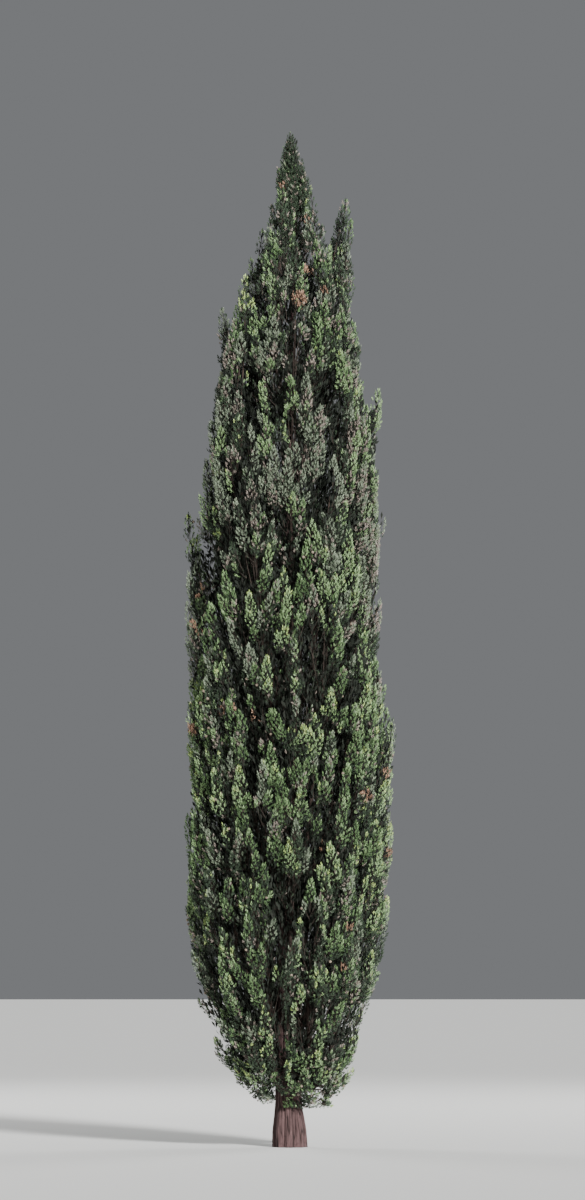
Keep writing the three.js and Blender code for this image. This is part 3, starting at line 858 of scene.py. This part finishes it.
# %% Woody twigs
SHOOT_RADIUS = 0.007
SHOOT_SHOWN = 0.6  # the share of a shoot that is bare wood
TWIG_RADIUS = 0.0035
THREAD_WIDTH = 0.004
WOOD_INSET = 0.14  # a shoot whose wood would end nearer to the outline is left to its foliage
steps = np.linspace(0, 1, 8)
sticks = []
wood_ends, _ = bezier(shoots.curves, SHOOT_SHOWN)
hidden = has_room(wood_ends, shoots.plume, inset=WOOD_INSET)
for number, curve in enumerate(shoots.curves[hidden]):
    path, _ = bezier(curve[None], SHOOT_SHOWN * steps)
    sticks.append(tube(path, SHOOT_RADIUS * lerp(1, 0.3, steps), 5, knots=0.12, seed=number))
shoot_twigs = add_piece("shoot_twigs", *joined(sticks), smooth=True)


def spikes(curves, radius):
    """Three-sided twigs that follow their curves and end in a point."""
    rings = []
    for share, width in ((0.0, radius), (0.5, 0.6 * radius)):
        point, heading = bezier(curves, share)
        across, other = square_to(heading, EAST)
        for corner in range(3):
            turn = corner * FULL_TURN / 3
            rings.append(point + width * (across * math.cos(turn) + other * math.sin(turn)))
    corners = np.stack([*rings, curves[:, 2]], axis=1)
    pairs = [(i, (i + 1) % 3) for i in range(3)]
    lower = [(i, j, 3 + i) for i, j in pairs]
    upper = [(j, 3 + j, 3 + i) for i, j in pairs]
    ends = [(3 + i, 3 + j, 6) for i, j in pairs]
    faces = np.array(lower + upper + ends)[None] + 7 * np.arange(len(curves))[:, None, None]
    return corners.reshape(-1, 3), faces.reshape(-1, 3)


lobe_twigs = add_piece("lobe_twigs", *spikes(lobes.curves, TWIG_RADIUS))
side = unit(np.cross(tufts.heading, tufts.away)) * THREAD_WIDTH / 2
slivers = np.stack([tufts.root - side, tufts.root + side, tufts.tip], axis=1).reshape(-1, 3)
threads = add_piece("threads", slivers, np.arange(len(slivers)).reshape(-1, 3))

# %% [markdown]
# ## Sprays of scale leaves
# The leaves of this tree are scales one millimetre long, pressed flat to twiglets as thin as cord. A whole
# tree has millions, so each blade here stands for one twiglet with its side cords: a slim kite, folded
# along its middle so that its two halves catch the light differently. Five blades around a point make a
# tuft. They are a few times wider than the real cord, because that many real ones would be needed to cover
# the same twig.

# %% Tuft shapes
BLADE_FOLD = 0.35  # how far the edges rise from the midrib, as a share of half the width
BLADE_BELLY = 0.58
BLADE_FACES = np.array([[0, 2, 1], [0, 3, 2]])
TUFT_SHAPES = 6
# Each blade of a tuft: where its root is above the tuft's middle, how far it leans in degrees, and its length
# and width, all but the lean as shares of the tuft's size.
BLADES = [
    (0.00, 4, 0.80, 0.27), (-0.16, 20, 0.66, 0.26), (-0.22, 26, 0.62, 0.26), (-0.34, 36, 0.62, 0.25),
    (-0.40, 42, 0.58, 0.25),
]


def blade(root, direction, facing, length, width):
    """Four corners of a folded kite."""
    side = unit(np.cross(direction, facing))
    rise = np.cross(side, direction)
    belly = root + BLADE_BELLY * length * direction + BLADE_FOLD * width / 2 * rise
    return np.array([root, belly - side * width / 2, root + length * direction, belly + side * width / 2])


def tuft_shape(rng):
    """One tuft, a metre in size and upright, as (points, faces)."""
    parts = []
    for index, (height, lean, length, width) in enumerate(BLADES):
        turn = index * GOLDEN_TURN + rng.uniform(-0.5, 0.5)
        tilt = math.radians(lean * rng.uniform(0.8, 1.2))
        out = outward(turn)
        direction = unit(out * math.sin(tilt) + UP * math.cos(tilt))
        facing = unit(out * math.cos(tilt) - UP * math.sin(tilt) + 0.3 * rng.uniform(-1, 1, 3))
        length *= rng.uniform(0.8, 1.15)
        width *= rng.uniform(0.85, 1.2)
        parts.append((blade(height * UP, direction, facing, length, width), BLADE_FACES))
    return joined(parts)


shape_rng = np.random.default_rng(31)
tuft_shapes = [tuft_shape(shape_rng) for _ in range(TUFT_SHAPES)]


def planted(shapes, roots, directions, facings, sizes, rng):
    """Sets a shape down at every root, along its direction, turned by chance."""
    parts = []
    choice = rng.integers(0, len(shapes), len(roots))
    side = unit(np.cross(directions, facings))
    front = np.cross(side, directions)
    yaw = rng.uniform(0, FULL_TURN, len(roots))[:, None]
    x = side * np.cos(yaw) + front * np.sin(yaw)
    y = np.cross(directions, x)
    for number, (points, faces) in enumerate(shapes):
        at = choice == number
        if not at.any():
            continue
        arms = points[:, 0, None] * x[at, None] + points[:, 1, None] * y[at, None]
        arms = arms + points[:, 2, None] * directions[at, None]
        placed = roots[at, None] + sizes[at, None, None] * arms
        shifts = len(points) * np.arange(at.sum())[:, None, None]
        parts.append((placed.reshape(-1, 3), (faces[None] + shifts).reshape(-1, 3)))
    return joined(parts)


print(TUFT_SHAPES, "tufts of", len(tuft_shapes[0][1]), "triangles")

# %% [markdown]
# ## Dealing out the colours
# Growth of one year on one shoot shares its colour: fresh yellow-green at the ends, plain green below, grey
# where the wax is thick, and a dull mauve where old sprays dry out inside. So colours are dealt out by
# spray: each tuft takes one of a few plain finishes, by its sprig, its lobe, how high it sits and how deep
# in the crown. Part of that is painted light: deep green is painted shade low on lobes, deep in the crown,
# at the foot and at the top, and the lighter finishes at the ends of lobes are partly painted highlights.
# A painted texture would smear over blades this small.

# %% Which finish each tuft takes
KINDS = ["fresh", "bright", "green", "deep", "grey", "mauve", "dead"]
# Painted shade: each height, and how many more sprays are deep green there. The foot and the top are painted
# darker, as if less light reached them.
PAINTED_SHADE_BY_HEIGHT = [
    (0.4, 0.35), (1.6, 0.35), (2.6, 0.20), (3.6, 0.05), (7.8, 0), (8.5, 0.40), (9.2, 0.65), (9.6, 0.75),
]
LOBE_WEIGHT, OWN_WEIGHT = 0.4, 0.12  # how far a tuft's colour strays from its sprig's
DEEP_SHARE = 0.12
FEWEST_FRESH = (0.6, 0.9)  # luck that a bright tuft needs to be fresh, low and high in the crown
deal_rng = np.random.default_rng(41)
level = tufts.tip[:, 2]
lobe_luck = deal_rng.uniform(0, 1, len(lobes.plume))[tufts.lobe]
own_luck = deal_rng.uniform(0, 1, len(level))
luck = (lobes.tint[tufts.lobe] + LOBE_WEIGHT * lobe_luck + OWN_WEIGHT * own_luck) % 1
kind = np.full(len(level), KINDS.index("green"))


def deal(name, where):
    """Gives one finish to the tufts where something is true."""
    kind[where] = KINDS.index(name)


def band(middle, height):
    """1 at a height in the crown, fading out above and below it."""
    return np.exp(-(((level - middle) / height) ** 2))


mauve_share = 0.05 + 0.17 * band(6.6, 1.5)
grey_share = lerp(0.10, 0.26, level / TREE_TOP) + 0.18 * band(6.5, 1.2)
bright_share = lerp(0.34, 0.18, level / TREE_TOP)
edges = np.cumsum([mauve_share, grey_share, np.full(len(level), DEEP_SHARE), bright_share], axis=0)
for name, low, high in zip(("mauve", "grey", "deep", "bright"), [0 * level, *edges[:-1]], edges):
    deal(name, (luck >= low) & (luck < high))

# The ends of lobes are younger and lighter, and dealing them the bright and fresh finishes also paints
# highlights on the lobes' tops.
at_top = tufts.share > 0.75
deal("bright", at_top & np.isin(kind, [KINDS.index("bright"), KINDS.index("green")]) & (own_luck < 0.5))
fresh_luck = lerp(*FEWEST_FRESH, smoothstep(level, 4.5, 6))
deal("fresh", at_top & (kind == KINDS.index("bright")) & (own_luck > fresh_luck))
deal("grey", at_top & (kind == KINDS.index("mauve")) & (own_luck < 0.6))

# Painted shade: low on a lobe and deep in the crown little light comes, so those tufts are dealt deep green,
# a few of them dry mauve. Deep inside, old sprays are also darker in truth.
shade = 0.65 * smoothstep(tufts.share, 0.6, 0.12) + smoothstep(tufts.covered, 0.15, 0.38)
shade = shade + along(PAINTED_SHADE_BY_HEIGHT, level)
lobe_shade = 0.6 * deal_rng.uniform(0, 1, len(lobes.plume))[tufts.lobe]
shaded = lobe_shade + 0.4 * deal_rng.uniform(0, 1, len(level)) < shade
deal("deep", shaded)
deal("mauve", shaded & (own_luck < 0.08))

# %% New growth and brown patches
NEW_GROWTH = "upper_plume_7"
# Brown patches: how far right of the trunk, how high, and how big, on the tree's front.
BROWN_PATCHES = [
    (-0.06, 9.41, 0.04), (0.16, 9.04, 0.05), (0.18, 8.52, 0.05), (0.32, 8.32, 0.05), (0.07, 8.20, 0.09),
    (-0.93, 5.77, 0.07), (-0.88, 5.53, 0.06), (-0.79, 5.46, 0.08), (-0.93, 5.38, 0.05), (-0.94, 5.08, 0.05),
    (-0.88, 4.99, 0.05), (-0.66, 4.19, 0.04), (-0.51, 4.22, 0.05), (-0.34, 4.13, 0.06), (-0.95, 4.03, 0.06),
    (0.93, 3.60, 0.06), (0.74, 3.38, 0.06), (0.31, 2.89, 0.05), (0.95, 2.84, 0.05), (0.57, 2.12, 0.04),
    (0.52, 1.73, 0.04),
]
BACK_PATCHES = 16
new_growth = [plume.node for plume in plumes].index(NEW_GROWTH)
deal("fresh", (tufts.plume == new_growth) & (level > plumes[new_growth].tip - 0.35) & (own_luck < 0.6))
for x, z, size in BROWN_PATCHES:
    near = np.hypot(tufts.tip[:, 0] - x, level - z) < size
    deal("dead", near & (tufts.tip[:, 1] < 0) & (own_luck < 0.85))
patch_rng = np.random.default_rng(42)
for _ in range(BACK_PATCHES):
    centre = tufts.tip[patch_rng.integers(len(level))]
    near = np.linalg.norm(tufts.tip - centre, axis=1) < patch_rng.uniform(0.04, 0.08)
    deal("dead", near & (centre[1] > 0))
print({name: int((kind == number).sum()) for number, name in enumerate(KINDS)})

# %% Plant the sprays
LARGEST_PIECE = 190000  # triangles
plant_rng = np.random.default_rng(51)
sprays = {}
for number, name in enumerate(KINDS):
    mine = np.flatnonzero(kind == number)
    batches = math.ceil(len(mine) * len(tuft_shapes[0][1]) / LARGEST_PIECE)
    for batch in range(batches):
        chosen = picked(tufts, mine[batch::batches])
        points, faces = planted(tuft_shapes, chosen.tip, chosen.heading, chosen.away, chosen.size, plant_rng)
        sprays.setdefault(name, []).append(add_piece(f"sprays_{name}_{batch + 1}", points, faces))

# %% [markdown]
# ## The shaded inside
# Behind the living surface a cypress is dense with old brown-green sprays that get no sun. They are what is
# seen in the gaps. Larger blades stand for them, and keep the sky from showing through the middle. Their
# finish is near black: the brown-green of old sprays with painted shade.

# %% Inner sprays
INNER_PER_PLUME = 1900  # in a plume of usual size
INNER_ROUND_TRUNK = 15000
INNER_SIZE = (0.075, 0.026)
INNER_INSET = CROWN_INSET + 0.085
inner_rng = np.random.default_rng(61)
spots, spot_plumes = [], []
for index, plume in enumerate(plumes):
    amount = int(INNER_PER_PLUME * (plume.length / USUAL_LENGTH) * (plume.half_width / USUAL_HALF_WIDTH))
    share = inner_rng.uniform(0.02 if plume.rise else -0.02, 0.93, amount)
    around = outward(inner_rng.uniform(0, FULL_TURN, amount))
    reach = (inner_rng.uniform(0.2, 0.85, amount) * flame_width(plume, share))[:, None]
    spots.append(stem_point(plume, share) + around * reach)
    spot_plumes.append(np.full(amount, index))
spots, spot_plumes = np.concatenate(spots), np.concatenate(spot_plumes)
keep = has_room(spots, spot_plumes, inset=INNER_INSET) & (spots[:, 2] > LOWEST_SPRAY + INNER_SIZE[0])

# Round the trunk they stand evenly, up to where the tips part.
heights = inner_rng.uniform(0.8, 8.6, INNER_ROUND_TRUNK)
around = inner_rng.uniform(0, FULL_TURN, INNER_ROUND_TRUNK)
reach = inner_rng.uniform(0.04, 0.62, INNER_ROUND_TRUNK) ** 0.5 * crown_radius(heights, around)
reach *= lerp(1, 0.45, smoothstep(heights, 7.2, 8.6))
spots = np.concatenate([spots[keep], outward(around) * reach[:, None] + trunk_centre(heights)])
spots = spots[~in_hollow(spots)]
away = unit((spots - trunk_centre(spots[:, 2])) + 1e-6)
heading = unit(UP + 0.45 * away + 0.5 * inner_rng.uniform(-1, 1, spots.shape))
lengths = np.full(len(spots), INNER_SIZE[0])

# More of them fill the lobes.
LOBE_FILL = 0.55  # of a lobe's half width
FILL_GAP = 0.09
fill = over_lobes(FILL_GAP, LOBE_FILL, inner_rng)
spots = np.concatenate([spots, fill.root])
away = np.concatenate([away, fill.away])
heading = np.concatenate([heading, fill.heading])
lengths = np.concatenate([lengths, np.linalg.norm(fill.tip - fill.root, axis=1) + 0.02])
inner_blade = (blade(np.zeros(3), UP, outward(0), 1, INNER_SIZE[1] / INNER_SIZE[0]), BLADE_FACES)
inner_sprays = add_piece("inner_sprays", *planted([inner_blade], spots, heading, away, lengths, inner_rng))

# %% [markdown]
# ## Cones
# Ripe cones are grey-brown balls about 30 mm across, made of a few plates that meet in seams. They sit
# among the sprays and last for years, so they are found all over the crown.

# %% Cones
CONES = 260
CONE_RADIUS = 0.014
CONE_SIDES = 8
CONE_RINGS = 5


def cone_shape():
    """A ball of plates: every other corner stands a little proud."""
    rows = []
    for ring in range(1, CONE_RINGS + 1):
        slope = math.pi * ring / (CONE_RINGS + 1)
        turn = np.linspace(0, FULL_TURN, CONE_SIDES, endpoint=False) + ring * 0.4
        proud = 1 + 0.09 * (-1) ** (np.arange(CONE_SIDES) + ring)
        rows.append(np.stack(
            [proud * math.sin(slope) * np.cos(turn), proud * math.sin(slope) * np.sin(turn),
             np.full(CONE_SIDES, 1 - math.cos(slope))], axis=-1,
        ))
    points = np.concatenate([*rows, [[0, 0, 0]], [[0, 0, 2]]])
    quads = ring_faces(CONE_RINGS, CONE_SIDES)
    sides = np.concatenate([quads[:, [0, 1, 2]], quads[:, [0, 2, 3]]])
    corner = np.arange(CONE_SIDES)
    turned = (corner + 1) % CONE_SIDES
    last = (CONE_RINGS - 1) * CONE_SIDES
    bottom = np.stack([turned, corner, np.full(CONE_SIDES, len(points) - 2)], axis=-1)
    top = np.stack([last + corner, last + turned, np.full(CONE_SIDES, len(points) - 1)], axis=-1)
    return points, np.concatenate([sides, bottom, top])


cone_rng = np.random.default_rng(71)
bearers = picked(tufts, cone_rng.choice(len(tufts.lobe), CONES, replace=False))
rising = unit(bearers.away + 0.5 * UP)
sizes = np.full(CONES, CONE_RADIUS)
cones = add_piece("cones", *planted([cone_shape()], bearers.tip, rising, bearers.heading, sizes, cone_rng))

# %% [markdown]
# ## Finishes
# Every finish here is a living or weathered surface, so none is one flat colour. Each starts from the real
# material's own values and is built from a few nodes. Colours are written as they look on a screen, in hex,
# and one function turns them to the linear values that Blender wants.

# %% Tools for finishes
def linear(colour):
    """An sRGB hex colour as linear red, green, blue and alpha."""
    values = [int(colour[place : place + 2], 16) / 255 for place in (1, 3, 5)]
    return [v / 12.92 if v <= 0.04045 else ((v + 0.055) / 1.055) ** 2.4 for v in values] + [1]


def add_node(tree, kind, settings=None, links=None):
    """Adds a node. A setting is one of its properties or, failing that, the value of a socket."""
    node = tree.nodes.new(kind)
    for key, value in (settings or {}).items():
        if hasattr(node, key):
            setattr(node, key, value)
        else:
            node.inputs[key].default_value = value
    for key, socket in (links or {}).items():
        tree.links.new(socket, node.inputs[key])
    return node


def new_finish(name):
    """An empty material and its node tree."""
    finish = bpy.data.materials.new(name)
    finish.use_nodes = True
    finish.node_tree.nodes.clear()
    return finish, finish.node_tree


def set_stops(ramp, colours):
    """Spreads colours evenly along a colour ramp."""
    stops = ramp.color_ramp.elements
    while len(stops) < len(colours):
        stops.new(0.5)
    for number, colour in enumerate(colours):
        stops[number].position = number / (len(colours) - 1)
        stops[number].color = linear(colour)


def drifting(tree, place, tones, scale, detail, roughness):
    """A noise, and the colour that it picks from close tones. The outer tones get the most room."""
    settings = {"Scale": scale, "Detail": detail, "Roughness": roughness}
    noise = add_node(tree, "ShaderNodeTexNoise", settings, {"Vector": place})
    tone = add_node(tree, "ShaderNodeValToRGB", links={"Fac": noise.outputs["Fac"]})
    set_stops(tone, [tones[0], *tones, tones[-1]])
    return noise.outputs["Fac"], tone.outputs["Color"]


def close_finish(tree, colour, height, bump, skin):
    """The last nodes of a finish: a skin of a colour, raised by a height, and the output."""
    raised = add_node(tree, "ShaderNodeBump", bump, {"Height": height})
    links = {"Base Color": colour, "Normal": raised.outputs["Normal"]}
    shader = add_node(tree, "ShaderNodeBsdfPrincipled", skin, links)
    add_node(tree, "ShaderNodeOutputMaterial", links={"Surface": shader.outputs["BSDF"]})


# %% [markdown]
# ## Scale leaves
# Scale leaves have a waxy skin. Wax gives a soft gloss, with a refractive index of about 1.45 like other
# leaf skins, and a greyish bloom at a low angle, which sheen draws well. The scales are only a millimetre
# or two long, too fine to show, so the pattern of their edges is drawn at 6 mm. A slow noise, with cells a
# little longer than a tuft, drifts between close tones, so hardly two blades match.

# %% Scale leaf finishes
TONE_SIZE = 0.07  # metres from one tone to the next
SCALE_SIZE = 0.006  # drawn size of one leaf scale


def scale_leaf(name, tones, roughness=0.6, sheen=0.12):
    """Waxy scale leaves whose tone drifts between close colours."""
    finish, tree = new_finish(name)
    place = add_node(tree, "ShaderNodeTexCoord").outputs["Object"]
    _, colour = drifting(tree, place, tones, 1 / TONE_SIZE, detail=3.0, roughness=0.6)
    scales = add_node(tree, "ShaderNodeTexVoronoi", {"Scale": 1 / SCALE_SIZE}, {"Vector": place})
    skin = {"Roughness": roughness, "IOR": 1.45, "Sheen Weight": sheen, "Sheen Roughness": 0.5}
    close_finish(tree, colour, scales.outputs["Distance"], {"Strength": 0.35, "Distance": 0.002}, skin)
    return finish


LEAF_TONES = {
    "fresh": ("#8da657", "#a8be72", "#c4d793"),
    "bright": ("#688551", "#809b69", "#9bb387"),
    # Deep green is the dark tone of old sprays and also painted shade, dealt to the shaded tufts.
    "green": ("#435d34", "#547043", "#6a8658"),
    "deep": ("#20301d", "#293a24", "#35482e"),
    "grey": ("#626f5b", "#76826c", "#8e9982"),
    "mauve": ("#74695f", "#8a7e74", "#a3978b"),
    "dead": ("#7a5c49", "#98765f", "#b6967f"),
}
leaf_finishes = {name: scale_leaf(f"scale_leaves_{name}", tones) for name, tones in LEAF_TONES.items()}
# Painted shade: the inner sprays are near black, darker than old brown-green sprays are.
inner_finish = scale_leaf("scale_leaves_shaded", ("#0f150d", "#151c11", "#1b1a14"), roughness=0.8, sheen=0)
print(len(leaf_finishes) + 1, "leaf finishes")

# %% [markdown]
# ## Bark
# Cypress bark is dry fibre, so it has no gloss: roughness is high, and only the tips of the fibres catch a
# little light. Weathered ridges turn a pinkish grey, and the furrows are painted dark brown as painted shade.
# The relief was saved on the mesh as a value called groove, and the finish reads it to paint the furrows
# darker.

# %% Bark finishes
FIBRE_WIDTH = 0.004  # metres across one fibre, drawn a little coarse so that it shows
FIBRE_STRETCH = 14  # a fibre is that many times as long as wide


def bark(name, ridge_tones, furrow_tone, has_grooves):
    """Fibrous bark, streaked along the limb."""
    finish, tree = new_finish(name)
    place = add_node(tree, "ShaderNodeTexCoord").outputs["Object"]
    streaks = add_node(tree, "ShaderNodeMapping", {"Scale": (1, 1, 1 / FIBRE_STRETCH)}, {"Vector": place})
    along_limb = streaks.outputs["Vector"]
    fibres, colour = drifting(tree, along_limb, ridge_tones, 1 / FIBRE_WIDTH / 4, detail=5.0, roughness=0.65)
    if has_grooves:
        # Painted shade: the furrows are mixed toward a dark brown.
        cut = add_node(tree, "ShaderNodeAttribute", {"attribute_name": "groove"})
        shade = add_node(tree, "ShaderNodeMix", {"data_type": "RGBA"})
        tree.links.new(cut.outputs["Fac"], shade.inputs[0])
        tree.links.new(colour, shade.inputs[6])
        shade.inputs[7].default_value = linear(furrow_tone)
        colour = shade.outputs[2]
    close_finish(tree, colour, fibres, {"Strength": 0.5, "Distance": 0.003}, {"Roughness": 0.9, "IOR": 1.45})
    return finish


trunk_finish = bark("trunk_bark", ("#382827", "#4e3a39", "#674f4e"), "#241513", has_grooves=True)
# Painted shade: the boughs and twigs in the crown get darker tones than the trunk; the boughs are also mossy.
bough_finish = bark("bough_bark", ("#2b211d", "#3a2e28", "#4a3c35"), "#2a1d18", has_grooves=False)
twig_finish = bark("twig_bark", ("#241d18", "#302721", "#3e332b"), "#2a1d18", has_grooves=False)
cone_finish = bark("cone_plates", ("#6b5d50", "#887a6b", "#a39686"), "#3a2c25", has_grooves=False)

# %% Hang every piece on the model
def dress(piece, finish, nodes):
    """Gives a piece its finish and its body, and hides the solids that it stands for."""
    piece.data.materials.append(finish)
    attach(piece, "root")
    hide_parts(*nodes)


plume_nodes = [plume.node for plume in plumes]
bough_nodes = [name for name in frame["nodes"] if "bough" in name]
dress(trunk_bark, trunk_finish, ["trunk"])
dress(bough_bark, bough_finish, bough_nodes)
dress(shoot_twigs, twig_finish, plume_nodes)
dress(lobe_twigs, twig_finish, plume_nodes)
dress(threads, twig_finish, plume_nodes)
dress(inner_sprays, inner_finish, plume_nodes)
dress(cones, cone_finish, plume_nodes)
for name, pieces in sprays.items():
    for piece in pieces:
        dress(piece, leaf_finishes[name], plume_nodes)
print("dressed", len(plume_nodes), "plumes and", len(bough_nodes), "boughs")

# %% [markdown]
# ## Floor, light and camera
# The tree stands on a plain pale floor under a plain pale sky, as in a studio. The main light is a sun with
# a wide disc, so its shadows have soft edges. It comes from the front, above and to the right, so that the
# tops and right sides of the clumps are bright and the gaps under them stay dark. A weak light softens the
# left, and two behind keep the far side readable.

# %% Floor and sky
FLOOR_RADIUS = 320
FLOOR_GAP = 0.0005  # under the cut, so that the two faces don't lie in one plane
bpy.ops.mesh.primitive_circle_add(
    vertices=96, radius=FLOOR_RADIUS, fill_type="NGON", location=(0, 0, -FLOOR_GAP)
)
floor = bpy.context.object
floor.name = "studio_floor"
floor_finish, floor_tree = new_finish("pale_floor")
matt = add_node(floor_tree, "ShaderNodeBsdfPrincipled", {"Base Color": linear("#dcdcd9"), "Roughness": 0.9})
add_node(floor_tree, "ShaderNodeOutputMaterial", links={"Surface": matt.outputs["BSDF"]})
floor.data.materials.append(floor_finish)
floor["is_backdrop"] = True

world = bpy.data.worlds.new("studio")
world.use_nodes = True
sky = world.node_tree.nodes["Background"]
sky.inputs["Color"].default_value = linear("#dfe2e6")
sky.inputs["Strength"].default_value = 0.25
bpy.context.scene.world = world


def add_light(name, kind, power, direction, place=(0, 0, 0)):
    """A lamp that shines in a direction."""
    light = bpy.data.lights.new(name, kind)
    light.energy = power
    lamp = bpy.data.objects.new(name, light)
    lamp.location = place
    lamp.rotation_euler = Vector(direction).to_track_quat("-Z", "Y").to_euler()
    bpy.context.collection.objects.link(lamp)
    return light


SUN_DISC = 9  # degrees
CROWN_MIDDLE = Vector((0, 0, 5))
add_light("key", "SUN", 7.6, (-8.2, 16.8, -8)).angle = math.radians(SUN_DISC)
soft_lights = {
    "fill": ((-14, -18, 5), 9, 150),
    "back_left": ((-14, 18, 12), 8, 2600),
    "back_right": ((15, 16, 12), 8, 2600),
}
for name, (place, size, power) in soft_lights.items():
    add_light(name, "AREA", power, CROWN_MIDDLE - Vector(place), place).size = size

# %% The camera
# It stands at eye height, well back. Halving finds the tilt that leaves the right room over the tip and under
# the foot.
CAMERA_DISTANCE = 40.0
CAMERA_HEIGHT = 1.6
ABOVE_TIP = 0.1083  # share of the picture's height above the tree, and below its foot
BELOW_FOOT = 0.0442
AXIS_OFFSET = 0.025  # the trunk stands that far left of the picture's middle
SENSOR = 0.036

foot_angle = math.atan2(-CAMERA_HEIGHT, CAMERA_DISTANCE)
tip_angle = math.atan2(TREE_TOP - CAMERA_HEIGHT, CAMERA_DISTANCE)
low, high = foot_angle, tip_angle
for _ in range(40):
    tilt = (low + high) / 2
    over, under = math.tan(tip_angle - tilt), math.tan(tilt - foot_angle)
    if over / under > (0.5 - ABOVE_TIP) / (0.5 - BELOW_FOOT):
        low = tilt
    else:
        high = tilt
camera_data = bpy.data.cameras.new("camera")
camera_data.sensor_width = 1000 * SENSOR
camera_data.lens = 1000 * SENSOR * (0.5 - ABOVE_TIP) / over
camera = bpy.data.objects.new("camera", camera_data)
camera.location = (AXIS_OFFSET, -CAMERA_DISTANCE, CAMERA_HEIGHT)
camera.rotation_euler = (math.pi / 2 + tilt, 0, 0)
bpy.context.collection.objects.link(camera)
bpy.context.scene.camera = camera
print("lens", round(camera_data.lens, 1), "mm, tilted up", round(math.degrees(tilt), 2), "degrees")

# %% [markdown]
# ## Sizes at the end
# The dressed tree may stand a little proud of the measured model, never much. Both boxes are printed, so
# that they can be compared.

# %% Sizes
looks_low, looks_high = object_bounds()
sizes = {
    "model": [list(model_low), list(model_high)],
    "looks": [list(looks_low), list(looks_high)],
}
print("model", [round(v, 3) for v in [*model_low, *model_high]])
print("looks", [round(v, 3) for v in [*looks_low, *looks_high]])
